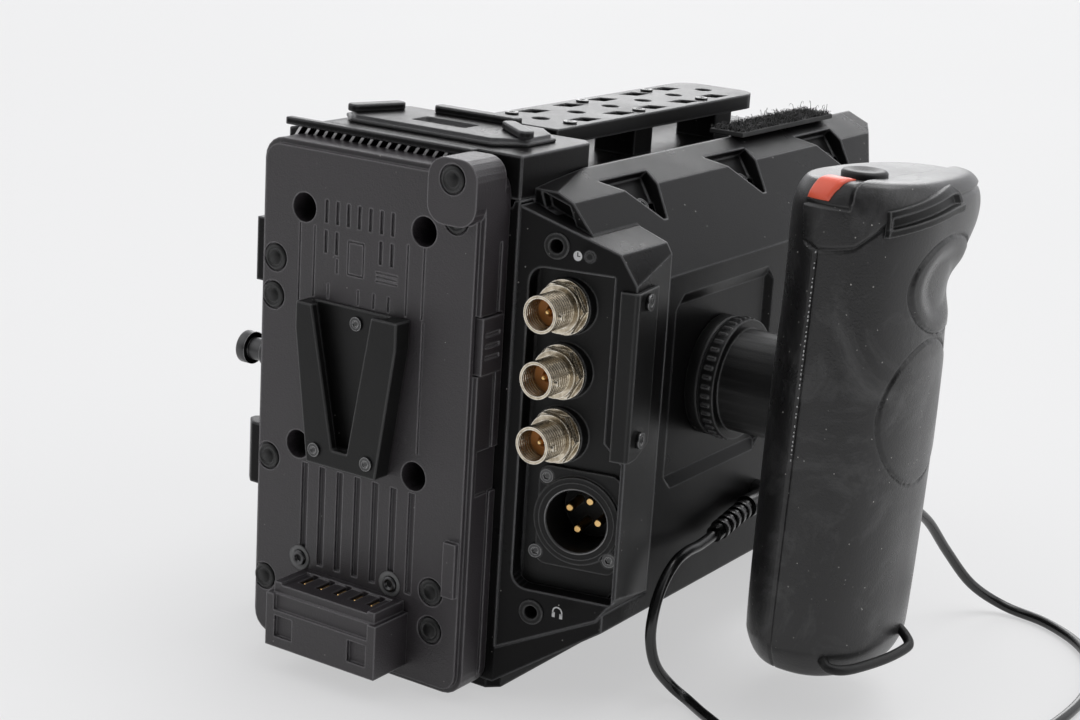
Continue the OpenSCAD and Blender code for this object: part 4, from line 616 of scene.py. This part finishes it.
def islands(piece):
    """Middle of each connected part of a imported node, and its half size, in a fixed order."""
    bm = bmesh.new()
    bm.from_mesh(piece.data)
    bm.transform(piece.matrix_world)
    bmesh.ops.remove_doubles(bm, verts=bm.verts[:], dist=WELD_GAP)
    left, found = set(bm.verts), []
    while left:
        group, todo = [], [left.pop()]
        while todo:
            vert = todo.pop()
            group.append(vert.co.copy())
            for edge in vert.link_edges:
                far = edge.other_vert(vert)
                if far in left:
                    left.remove(far)
                    todo.append(far)
        low = Vector([min(v[i] for v in group) for i in range(3)])
        high = Vector([max(v[i] for v in group) for i in range(3)])
        found.append(((low + high) / 2, (high - low) / 2))
    bm.free()
    return sorted(found, key=lambda part: tuple(part[0]))


print("plate plugs", len(islands(nodes["plate_plugs"])))

# %% Round covers with a thin ring
DISC_PROFILE = [(0, 0.1), (1.9, 0.1), (2.0, 0.3), (2.3, 0.3), (2.4, 0.1), (3.15, 0.15), (3.4, 0.4),
                (3.4, 2.2), (0, 2.2)]
SMALL_PLUG, DISC_SUNK = 4.5, 0.1
plugs = islands(nodes["plate_plugs"])
for k, (middle, half) in enumerate(plugs):
    face = middle - Vector((0, half.y, 0))
    if half.x < SMALL_PLUG * MM:
        face.y = min(face.y, (PLATE_Y + DISC_SUNK) * MM)
    disc = fitted(lathe("plate_disc_%d" % k, DISC_PROFILE, face), "black_plastic", "root")
    if k == 0:
        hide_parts("plate_plugs")
print("discs", len(plugs))

# %% [markdown]
# A comb of thin slanted blades lies under the rear lip of the deck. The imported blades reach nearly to
# the deck's top. Here each is a leaning block that ends below a thin lip, which is made here only.

# %% Blades under the deck's rear lip
LIP_LOW, LIP_HIGH = (-46.4, -85.3, 143.3), (14.6, -82.9, 145.3)
BLADES, BLADE_X, BLADE_STEP, BLADE_WIDE, BLADE_LEAN = 19, -44.6, 3.0, 1.1, 2.4
BLADE_Y, BLADE_Z = (-84.7, -83.0), (139.6, 143.2)
lip = blocks_mesh("deck_lip", [(LIP_LOW, LIP_HIGH)])
fitted(lip, "black_paint", "root", soft=0.3)
blade_lefts = [BLADE_X + BLADE_STEP * k for k in range(BLADES)]
blades = blocks_mesh("comb_blades", [((x, BLADE_Y[0], BLADE_Z[0]), (x + BLADE_WIDE, BLADE_Y[1], BLADE_Z[1]))
                                     for x in blade_lefts], lean=BLADE_LEAN)
fitted(blades, "aluminium", "root", "vent_comb", soft=0.15)
print("comb blades", len(blade_lefts))

# %% [markdown]
# Two generic pictograms stand by the audio sockets, a clock face and a pair of headphones. They are thin
# inlays, made of an arc, a few blocks and a bent band, so that the export keeps them as real shapes.

# %% Pictograms by the audio sockets
BLOCK_Y, INK_THICK, HAND_PROUD = -83.06, 0.1, 0.08
CLOCK, CLOCK_RADIUS, CLOCK_ARC = (46.3, 123.1), 1.25, (0, 345)
CLOCK_HANDS = ((-0.12, 0.12, -0.1, 0.95), (-0.1, 0.75, -0.12, 0.12))
PHONE, BAND_OUTER, BAND_INNER, BAND_ARC = (47.1, 29.0), 1.55, 1.2, (200, -20)
PAD_OUT, PAD_HALF, PAD_LOW, PAD_HIGH = 1.15, 0.42, -1.5, -0.2
pale_ink = finish("pale_ink", grey(0.72), grey(0.66), 0.5, 0.6, depth=0.05)


def flat_shape(name, outline, y):
    """A thin plate standing in the x-z plane, from its outline in millimetres."""
    count = len(outline)
    points = [Vector((x, deep, z)) * MM for deep in (y, y + INK_THICK) for x, z in outline]
    faces = [tuple(range(count)), tuple(reversed(range(count, 2 * count)))]
    faces += [(k, k + count, (k + 1) % count + count, (k + 1) % count) for k in range(count)]
    return new_mesh(name, points, faces)


def arc(middle, radius, start, stop, steps=24):
    """Points on an arc in the x-z plane, between two turns in degrees."""
    turns = [math.radians(start + (stop - start) * k / steps) for k in range(steps + 1)]
    return [(middle[0] + radius * math.cos(turn), middle[1] + radius * math.sin(turn)) for turn in turns]


def inlay(middle, reach, front, back):
    """Corners of a small block around a middle, from its left, right, low and high reach."""
    left, right_side, low, high = reach
    return ((middle[0] + left, BLOCK_Y + front, middle[1] + low),
            (middle[0] + right_side, BLOCK_Y + back, middle[1] + high))


clock = flat_shape("clock_face", arc(CLOCK, CLOCK_RADIUS, *CLOCK_ARC), BLOCK_Y)
hands = blocks_mesh("clock_hands", [inlay(CLOCK, reach, -HAND_PROUD, 0) for reach in CLOCK_HANDS])
band = flat_shape("phone_band", arc(PHONE, BAND_OUTER, *BAND_ARC) + arc(PHONE, BAND_INNER, *BAND_ARC[::-1]),
                  BLOCK_Y)
pad_reaches = [(side - PAD_HALF, side + PAD_HALF, PAD_LOW, PAD_HIGH) for side in (-PAD_OUT, PAD_OUT)]
pads = blocks_mesh("phone_pads", [inlay(PHONE, reach, 0, INK_THICK) for reach in pad_reaches])
fitted(hands, "black_plastic", "root")
for pale_piece in (clock, band, pads):
    fitted(pale_piece, "black_plastic", "root", paint=pale_ink)
print("pictograms", [mark_piece.name for mark_piece in (clock, hands, band, pads)])

# %% [markdown]
# The power socket stands on a face that is turned twelve degrees. Its flange has a bright inner rim and
# a thin dark outer one. Both are turned rings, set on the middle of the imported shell's own front edge.

# %% Rims of the power socket
FACE_TURN = math.radians(12)
FACE_WAY = Vector((math.sin(FACE_TURN), -math.cos(FACE_TURN), 0))
FRONT_GAP, RIM_BACK, RIM_EDGE, RIM_CROWN, RIM_SIDES = 1e-5, 0.3, -0.1, -0.2, 96
SOCKET_RIMS = ((8.5, 8.95, "steel"), (10.2, 10.5, "black_plastic"))
shell = nodes["xlr_shell"]
shell_points = [shell.matrix_world @ v.co for v in shell.data.vertices]
shell_front = max(FACE_WAY.dot(v) for v in shell_points)
rim_points = [v for v in shell_points if FACE_WAY.dot(v) > shell_front - FRONT_GAP]
rim_place = Vector([(min(v[i] for v in rim_points) + max(v[i] for v in rim_points)) / 2 for i in range(3)])
for k, (inner, outer, slot) in enumerate(SOCKET_RIMS):
    profile = [(inner, RIM_BACK), (inner, RIM_EDGE), ((inner + outer) / 2, RIM_CROWN), (outer, RIM_EDGE),
               (outer, RIM_BACK), (inner, RIM_BACK)]
    rim = lathe("socket_rim_%d" % k, profile, rim_place, axis=-FACE_WAY, sides=RIM_SIDES)
    fitted(rim, slot, "root")
print("socket rims near", [round(v, 4) for v in rim_place])

# %% [markdown]
# The battery's contacts sit in a block with a shallow window in its front and a shallow tray in its top,
# both cut like the plate's marks. Above it stand two screws in wells: each well is a thin dark dish that
# paints the shade of its recess, and each head a turned piece with a deep middle, so nothing has to be cut
# for them.

# %% Window of the contact block, and two screws in wells
WINDOW_CUTS = [((-26, -110, 17.6), (5.6, -108.1, 23.6)), ((-24.6, -107.6, 24.4), (4.4, -97, 25.6))]
WELLS, WELL_SHADE_PROUD, HEAD_PROUD = ((-29.2, 27.6), (1.8, 28.2)), 0.02, 0.1
WELL_SHADE_PROFILE = [(3.3, 0), (3.6, -0.1), (3.6, 0.2), (0, 0.25)]
HEAD_PROFILE = [(0.01, 0.3), (1.0, 0.3), (1.05, -0.6), (2.0, -0.5), (2.3, 0.1), (0, 0.2)]
window = blocks_mesh("window_cut", WINDOW_CUTS)
fitted(carved("contact_moulding", nodes["contact_block"], window), "grey_plastic", "root", "contact_block",
       soft=0.4)
for k, (x, z) in enumerate(WELLS):
    # The thin dark dish around each head is painted shade where the well's recess would be.
    well_shade = lathe("screw_well_shade_%d" % k, WELL_SHADE_PROFILE, Vector((x, PLATE_Y - WELL_SHADE_PROUD, z)) * MM)
    head = lathe("well_screw_%d" % k, HEAD_PROFILE, Vector((x, PLATE_Y - HEAD_PROUD, z)) * MM)
    fitted(well_shade, "black_plastic", "root")
    fitted(head, "steel", "root")
print("window cuts", len(WINDOW_CUTS), "wells", len(WELLS))

# %% [markdown]
# The grip is a moulded handle with a rubber lid over its outer shoulder, a thumb rest, a round cover and
# a parting line. The solids are stacks of ovals, so the same rows drive a much finer skin here: a smooth
# line through the rows gives the form, and every feature is a small rise or dip measured along the skin.
# That keeps one clean surface, where cutting the features with booleans would leave ragged shading.

# %% The grip's form
GRIP_X, GRIP_A, GRIP_B = 95, 19.2, 27.5
GRIP_DROP, GRIP_RISE, GRIP_SHIFT, OVAL_POWER = 70, 60, 5, 0.84
GRIP_ROWS = [
    (-1.0, 0.02, 0.02, 0.02), (-1.0, 0.4, 0.45, 0.45), (-1, 0.66, 0.78, 0.74), (-0.965, 0.84, 0.9, 0.88),
    (-0.88, 0.95, 1, 0.98), (-0.3, 1, 1, 0.98), (0.15, 1, 1, 0.95), (0.42, 0.98, 1, 0.9),
    (0.56, 0.98, 1, 0.97), (0.68, 0.99, 1, 1.25), (0.8, 1, 1, 1.56), (0.9, 0.98, 0.99, 1.62),
    (0.97, 0.9, 0.94, 1.5), (1, 0.78, 0.84, 1.3), (1.0, 0.45, 0.5, 0.8), (1.0, 0.02, 0.02, 0.02)]
GRIP_PLACE = Matrix.Translation((0, -0.024, 0.083)) @ Matrix.Rotation(math.radians(-3), 4, "X")
LEAST_STEPS, MOST_STEPS, ROW_GAP, STEPS_PER_SHARE, UNEVEN = 6, 60, 0.45, 14, 2.5
AROUND, SMALL_TURN, TINY = 360, 0.5, 1e-9


def grip_rows():
    """Rows of (height, side, back, front) in millimetres and shares, close together."""
    rows = [Vector(((GRIP_DROP if r[0] < 0 else GRIP_RISE) * r[0], r[1], r[2], r[3])) for r in GRIP_ROWS]
    fine_rows = []
    for i in range(len(rows) - 1):
        a, b, c, d = (rows[min(max(i + k, 0), len(rows) - 1)] for k in (-1, 0, 1, 2))
        wanted = round(abs(c[0] - b[0]) / ROW_GAP + STEPS_PER_SHARE * abs(c[1] - b[1]))
        steps = max(LEAST_STEPS, min(MOST_STEPS, wanted))
        m0, m1 = 0.5 * (c - a), 0.5 * (d - b)
        tall = (c - b)[0]
        if tall and abs((b - a)[0]) > UNEVEN * abs(tall):
            m0 = m0 * abs(tall / (b - a)[0])
        if tall and abs((d - c)[0]) > UNEVEN * abs(tall):
            m1 = m1 * abs(tall / (d - c)[0])
        for k in range(steps):
            t = k / steps
            fine_rows.append((2 * t ** 3 - 3 * t * t + 1) * b + (t ** 3 - 2 * t * t + t) * m0
                             + (3 * t * t - 2 * t ** 3) * c + (t ** 3 - t * t) * m1)
    return fine_rows + [rows[-1]]


def on_oval(row, turn):
    """Point of the grip's skin, in the grip's own millimetres. Turn 0 is outward and 90 is forward."""
    c, s = math.cos(math.radians(turn)), math.sin(math.radians(turn))
    reach = GRIP_B * (row[2] if s < 0 else row[3])
    return Vector((GRIP_X + GRIP_A * row[1] * math.copysign(abs(c) ** OVAL_POWER, c),
                   GRIP_SHIFT + reach * math.copysign(abs(s) ** OVAL_POWER, s), row[0]))


def across_at(row, turn):
    """The way around the skin, as the step between two near points."""
    return on_oval(row, turn + SMALL_TURN) - on_oval(row, turn - SMALL_TURN)


def out_at(low, row, up, turn):
    """The way straight out of the skin, or up or down where the skin closes to a point."""
    out = across_at(row, turn).cross(on_oval(up, turn) - on_oval(low, turn))
    return out.normalized() if out.length > TINY else Vector((0, 0, math.copysign(1, row[0])))


FINE_ROWS = grip_rows()
print("grip rows", len(GRIP_ROWS), "made into", len(FINE_ROWS))

# %% [markdown]
# The features are measured in millimetres on the form: the lid's edge is a height that changes with the
# turn around the grip, the thumb rest is an oval dish, the cover is a low disc and the seam a groove.

# %% Lid, thumb rest, round cover and parting line, as rises and dips
LID_EDGE = [(244, 60.5), (247, 53), (252, 44.2), (264, 42.6), (286, 44.4), (308, 51), (321, 54.5),
            (363, 56.8), (400, 57.2), (440, 57.8)]
NO_LID, LID_RISE, LID_SLOPE, LID_FAR, LID_FRONT_Y, TOP_BAND = 90, 0.8, 0.7, 3, 40, 0.8
BUTTON_SIDE_X, BUTTON_LOW, BUTTON_BAND = 99.6, 53.4, 0.8
LID_GAP_DEEP, LID_GAP_HALF, LID_GAP_OFF = 0.5, 0.55, 0.15
THUMB_Y, THUMB_Z, THUMB_HALF_Y, THUMB_HALF_Z = 11.5, 34, 20, 12.8
THUMB_RIM_DEEP, THUMB_RIM_HALF, THUMB_DISH, THUMB_RISE = 0.5, 0.6, 1.7, 0.35
THUMB_FLOOR, THUMB_WALL = 0.45, 0.4
COVER_Z, COVER_R, COVER_GAP_DEEP, COVER_GAP_HALF, COVER_RISE = 1, 19.2, 0.45, 0.55, 0.25
SEAM_X, SEAM_TOP, SEAM_FROM, SEAM_DEEP, SEAM_HALF = 91.7, 42, 10, 0.45, 0.45


def step_up(value, start, width):
    """0 before start, 1 after start + width, smooth between."""
    t = min(max((value - start) / width, 0), 1)
    return t * t * (3 - 2 * t)


def groove(distance, half):
    """1 in the middle of a groove of this half width, 0 outside it."""
    return max(0.0, 1 - (distance / half) ** 2) if abs(distance) < half else 0.0


def lid_line(turn):
    for (t0, h0), (t1, h1) in zip(LID_EDGE, LID_EDGE[1:]):
        if t0 <= turn <= t1:
            return h0 + (h1 - h0) * (turn - t0) / (t1 - t0)
    return NO_LID


def lid_rise(p, turn):
    """The lid stands out above its line, past a thin gap, and leaves room for the record button."""
    above = min(p.z - lid_line(turn if turn >= 180 else turn + 360), LID_FAR)
    if p.z > GRIP_RISE - TOP_BAND:
        above = p.x - BUTTON_SIDE_X
    if p.x < BUTTON_SIDE_X and p.z > BUTTON_LOW and p.y < LID_FRONT_Y:
        above = min(above, p.x - BUTTON_SIDE_X if p.z > BUTTON_LOW + BUTTON_BAND else BUTTON_LOW - p.z)
    gap = LID_GAP_DEEP * groove(above + LID_GAP_OFF, LID_GAP_HALF)
    return LID_RISE * step_up(above, 0, LID_SLOPE) - gap


def outer_side_rise(p):
    """The thumb rest and the round cover, which are on the outer side only."""
    thumb = math.hypot((p.y - THUMB_Y) / THUMB_HALF_Y, (p.z - THUMB_Z) / THUMB_HALF_Z)
    rise = THUMB_RISE if thumb < 1 else 0
    rise -= THUMB_RIM_DEEP * groove((thumb - 1) * THUMB_HALF_Z, THUMB_RIM_HALF)
    rise -= THUMB_DISH * (1 - step_up(thumb, THUMB_FLOOR, THUMB_WALL))
    far = math.hypot(p.y - GRIP_SHIFT, p.z - COVER_Z)
    rise += COVER_RISE if far < COVER_R else 0
    return rise - COVER_GAP_DEEP * groove(far - COVER_R, COVER_GAP_HALF)


def rise_at(p, turn):
    """How far the skin stands out at a point of the form."""
    rise = lid_rise(p, turn) + (outer_side_rise(p) if p.x > GRIP_X else 0)
    if p.z < SEAM_TOP and abs(p.y - GRIP_SHIFT) > SEAM_FROM:
        rise -= SEAM_DEEP * groove(p.x - SEAM_X, SEAM_HALF)
    return rise


print("lid edge points", len(LID_EDGE))

# %% The grip's skin
skin_points = []
for low, row, up in zip(FINE_ROWS[:1] + FINE_ROWS, FINE_ROWS, FINE_ROWS[1:] + FINE_ROWS[-1:]):
    for k in range(AROUND):
        turn = 360 * k / AROUND
        p = on_oval(row, turn)
        skin_points.append(GRIP_PLACE @ ((p + out_at(low, row, up, turn) * rise_at(p, turn)) * MM))
skin_ends = [tuple(reversed(range(AROUND))), tuple(range(len(skin_points) - AROUND, len(skin_points)))]
skin_faces = sleeve(len(FINE_ROWS), AROUND) + skin_ends
grip_body = new_mesh("grip_skin_moulding", skin_points, skin_faces, smooth=True)
fitted(grip_body, "grip_skin", "grip", "grip_inner", "grip_outer", "grip_cap", "grip_badge")
print("grip skin", len(skin_points), "points")

# %% [markdown]
# Three small things stand on the grip: the slotted lug for a hand strap, the wire loop at the foot, and
# the red record button over the rear edge. Lug and button follow the grip's own skin, found with the
# same functions, so that neither floats. The button is its own piece because it moves.

# %% Strap lug
LUG_FROM, LUG_TO, LUG_HIGH, LUG_STEPS = (306, 47.6), (366, 53.4), 7.0, 40
LUG_SLOT_OUT, LUG_END_OUT, LUG_END_STEPS, LUG_TIP_SHARE = 1.2, 2.4, 2, 0.25
LUG_RIMS = [(0, 0.2), (0.3, 2.6), (2.2, 3.0), (2.5, LUG_SLOT_OUT), (LUG_HIGH - 2.2, LUG_SLOT_OUT),
            (LUG_HIGH - 1.9, 2.4), (LUG_HIGH - 0.2, 2.0), (LUG_HIGH, 0.2)]
LUG_THICK, LUG_ROUND, LUG_ROW_SIDE = 0.8 * MM, 0.3 * MM, 0.6
WIDE_ROWS = [r for r in FINE_ROWS if r[1] > LUG_ROW_SIDE]


def skin_at(height, turn, out=0.0):
    """World point on the grip's skin at a height and a turn, standing out by some millimetres."""
    low, high = next(((a, b) for a, b in zip(WIDE_ROWS, WIDE_ROWS[1:])
                      if a[0] <= height <= b[0] and b[0] > a[0]), WIDE_ROWS[-2:])
    row = low.lerp(high, min(max((height - low[0]) / max(high[0] - low[0], TINY), 0), 1))
    normal = across_at(row, turn).cross(Vector((0, 0, 1))).normalized()
    return GRIP_PLACE @ ((on_oval(row, turn) + normal * out) * MM)


def lug_point(share, up, out):
    """Point of the lug at a share of its length, a height over its lower edge and a reach outward."""
    return skin_at(LUG_FROM[1] + (LUG_TO[1] - LUG_FROM[1]) * share + up,
                   LUG_FROM[0] + (LUG_TO[0] - LUG_FROM[0]) * share, out)


lug_points, lug_faces = [], []
for k in range(LUG_STEPS + 1):
    from_end = min(k, LUG_STEPS - k)
    for up, out in LUG_RIMS:
        if from_end <= LUG_END_STEPS and out == LUG_SLOT_OUT:
            out = LUG_END_OUT
        lug_points.append(lug_point(k / LUG_STEPS, up, out * (LUG_TIP_SHARE if from_end == 0 else 1)))
for k in range(LUG_STEPS):
    for a in range(k * len(LUG_RIMS), (k + 1) * len(LUG_RIMS) - 1):
        lug_faces.append((a, a + len(LUG_RIMS), a + len(LUG_RIMS) + 1, a + 1))
lug = fitted(new_mesh("strap_lug", lug_points, lug_faces), "black_plastic", "grip")
lug_wall = lug.modifiers.new("thickness", "SOLIDIFY")
lug_wall.thickness, lug_wall.offset = LUG_THICK, -1
lug_corners = lug.modifiers.new("round", "BEVEL")
lug_corners.width, lug_corners.segments = LUG_ROUND, 2
print("lug", len(lug_points), "points")

# %% Foot loop
FOOT_WIDTH, FOOT_STEPS, FOOT_SIDES = 2.7 * MM, 8, 14
FOOT_ROUTE = [
    (101.5, -41.5, 22.5), (105.5, -45.6, 20.2), (108, -46.2, 19), (111.5, -42, 18.4), (115.2, -30, 18.2),
    (117, -20, 18.6), (116.6, -16.5, 19.4), (113, -14.5, 21.5), (109, -14.5, 23)]
foot_line = smooth_line([Vector(p) * MM for p in FOOT_ROUTE], FOOT_STEPS)
fitted(tube("foot_loop", foot_line, FOOT_WIDTH, FOOT_SIDES), "black_plastic", "grip")
print("foot loop", round(line_length(foot_line), 3), "m")

# %% Record button over the rear edge
BUTTON_LEFT, BUTTON_RIGHT, BUTTON_FROM, BUTTON_SIDE = (248, 252), (267, 274), 54.6, 0.62
BUTTON_STAND, BUTTON_DEEP, BUTTON_EDGE, BUTTON_EDGE_STEPS, BUTTON_COLUMNS = 0.8, 3.0, 0.35, 3, 26


def edge_share(i, count):
    """0 at either end of a row of points, 1 from a few steps inward."""
    return min(i, count - 1 - i, BUTTON_EDGE_STEPS) / BUTTON_EDGE_STEPS


def build_button():
    rows = [r for r in FINE_ROWS if r[0] >= BUTTON_FROM and r[1] > BUTTON_SIDE]
    outer, inner = [], []
    for i, row in enumerate(rows):
        low, up = rows[max(i - 1, 0)], rows[min(i + 1, len(rows) - 1)]
        up_share = i / (len(rows) - 1)
        left = BUTTON_LEFT[0] + (BUTTON_LEFT[1] - BUTTON_LEFT[0]) * up_share
        right_end = BUTTON_RIGHT[0] + (BUTTON_RIGHT[1] - BUTTON_RIGHT[0]) * up_share
        for k in range(BUTTON_COLUMNS):
            turn = left + (right_end - left) * k / (BUTTON_COLUMNS - 1)
            p, out = on_oval(row, turn), out_at(low, row, up, turn)
            edge = edge_share(i, len(rows)) * edge_share(k, BUTTON_COLUMNS)
            stand = BUTTON_STAND * (BUTTON_EDGE + (1 - BUTTON_EDGE) * math.sqrt(edge))
            outer.append(GRIP_PLACE @ ((p + out * stand) * MM))
            inner.append(GRIP_PLACE @ ((p - out * BUTTON_DEEP) * MM))
    count, wide, last_row = len(outer), BUTTON_COLUMNS, len(rows) - 1
    faces = []
    for i in range(last_row):
        for a in range(i * wide, (i + 1) * wide - 1):
            faces.append((a, a + 1, a + wide + 1, a + wide))
            faces.append((count + a + wide, count + a + wide + 1, count + a + 1, count + a))
    ring = [*range(wide), *(i * wide + wide - 1 for i in range(1, last_row + 1))]
    ring += [last_row * wide + k for k in range(wide - 2, -1, -1)]
    ring += [i * wide for i in range(last_row - 1, 0, -1)]
    for a, b in zip(ring, ring[1:] + ring[:1]):
        faces.append((b, a, count + a, count + b))
    return new_mesh("record_cap", outer + inner, faces, smooth=True)


record_cap = fitted(build_button(), "red_button", "record_key", "record_button")
print("record cap", len(record_cap.data.vertices), "points")

# %% [markdown]
# The zoom rocker on top of the grip has a dished cap, which is a turned piece. The parting line has
# rubbed pale in short spots, which are tiny inlays with heights from a seeded random generator.

# %% Zoom rocker
ROCKER_PROFILE = [(0, -5.5), (5.6, -5.4), (6.0, -5.0), (6.0, 0.5), (5.5, 1.1), (4.4, 1.25), (2.6, 0.75),
                  (0, 0.6)]
ROCKER_SUNK, ROCKER_SIDES = 0.2 * MM, 64
rocker_low, rocker_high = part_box("zoom_rocker")
rocker_place = (rocker_low + rocker_high) / 2
rocker_place.z = rocker_high.z - ROCKER_SUNK
rocker = lathe("rocker_cap", ROCKER_PROFILE, rocker_place, axis=Vector((0, 0, 1)), sides=ROCKER_SIDES)
fitted(rocker, "black_plastic", "rocker", "zoom_rocker")
print("rocker at", [round(v, 4) for v in rocker_place])

# %% Worn spots along the seam
WEAR_SEED, WEAR_PLACES, WEAR_SHARE, WEAR_TOP, WEAR_STEP, WEAR_STRAY = 5, 44, 0.82, 41.5, 1.25, 0.2
WEAR_WIDE, WEAR_DEEP, WEAR_PROUD, WEAR_LEAST, WEAR_MOST = 0.22, 0.4, 0.12, 0.25, 0.55
WEAR_ROW_SIDE, SEAM_TURNS = 0.9, [half_degree / 2 for half_degree in range(500, 540)]
full_rows = [r for r in FINE_ROWS if r[1] > WEAR_ROW_SIDE]
wear_random = random.Random(WEAR_SEED)
wear = []
for k in range(WEAR_PLACES):
    if wear_random.random() < WEAR_SHARE:
        height = WEAR_TOP - WEAR_STEP * k + wear_random.uniform(-WEAR_STRAY, WEAR_STRAY)
        row = min(full_rows, key=lambda r: abs(r[0] - height))
        at_seam = min((on_oval(row, turn) for turn in SEAM_TURNS), key=lambda p: abs(p.x - SEAM_X))
        x, y, z = at_seam.x - WEAR_WIDE, at_seam.y - WEAR_PROUD, at_seam.z
        tall = wear_random.uniform(WEAR_LEAST, WEAR_MOST)
        wear.append(((x, y, z), (x + WEAR_WIDE, y + WEAR_DEEP, z + tall)))
worn_seam = blocks_mesh("seam_wear", wear)
worn_seam.data.transform(GRIP_PLACE)
fitted(worn_seam, "grip_skin", "grip", paint=pale_ink)
print("worn spots", len(wear))

# %% [markdown]
# The strip on the right shoulder is hook-and-loop tape. A flat block can't look like pile, so a low mat
# carries many short curled hooks, each a thin three-sided thread. The turns come from a seeded random
# generator, so that every run gives the same strip.

# %% Hook pile
PILE_COUNT, PILE_SEED, PILE_EDGE, PILE_ROOT = 2600, 11, 0.4 * MM, 1.2 * MM
THREAD_R, THREAD_TAPER, THREAD_SIDES = 0.11 * MM, 0.15, 3
THREAD_TALL, THREAD_CURL, LONG_EVERY, LONG_TIMES = (0.5, 1.5), (0.4, 1.4), 60, 2.6
THREAD_FORM = ((0, 0), (0.5, 0.15), (0.9, 0.5), (1, 1), (0.8, 1.35))
pile_low, pile_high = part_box("cable_strip")


def build_pile():
    """Threads whose form is pairs of a share of the height and a share of the curl."""
    draws = random.Random(PILE_SEED)
    points, faces = [], []
    for thread in range(PILE_COUNT):
        x = draws.uniform(pile_low.x + PILE_EDGE, pile_high.x - PILE_EDGE)
        y = draws.uniform(pile_low.y + PILE_EDGE, pile_high.y - PILE_EDGE)
        root = Vector((x, y, pile_low.z + PILE_ROOT))
        turn = draws.uniform(0, math.tau)
        tall = draws.uniform(*THREAD_TALL) * MM
        curl = draws.uniform(*THREAD_CURL) * MM
        way = Vector((math.cos(turn), math.sin(turn), 0))
        if thread % LONG_EVERY == 0:
            tall = tall * LONG_TIMES
        faces += sleeve(len(THREAD_FORM), THREAD_SIDES, start=len(points))
        for i, (up, out) in enumerate(THREAD_FORM):
            place = root + Vector((0, 0, tall * up)) + way * curl * out
            thin = THREAD_R * (1 - THREAD_TAPER * i)
            for k in range(THREAD_SIDES):
                spin = turn + k * math.tau / THREAD_SIDES
                points.append(place + Vector((math.cos(spin) * thin, math.sin(spin) * thin, 0)))
    return new_mesh("hook_pile", points, faces)


pile = fitted(build_pile(), "hook_fabric", "root")
print("pile threads", PILE_COUNT, "faces", len(pile.data.polygons))

# %% The mat under the pile
MAT_HIGH, MAT_ROUND = 1.4 * MM, 0.3 * MM


def soft_block(name, low, high):
    """A block with rounded edges, as a mesh."""
    bm = bmesh.new()
    bmesh.ops.create_cube(bm, size=1)
    middle, size = (low + high) / 2, high - low
    for v in bm.verts:
        v.co = v.co * size + middle
    bmesh.ops.bevel(bm, geom=bm.edges[:], offset=MAT_ROUND, segments=2, affect="EDGES", profile=0.6)
    data = bpy.data.meshes.new(name)
    bm.to_mesh(data)
    bm.free()
    return data


mat_data = soft_block("pile_mat", pile_low, Vector((pile_high.x, pile_high.y, pile_low.z + MAT_HIGH)))
mat_base = bpy.data.objects.new("pile_mat", mat_data)
scene.collection.objects.link(mat_base)
fitted(mat_base, "hook_fabric", "root", "cable_strip")
print("mat faces", len(mat_data.polygons))
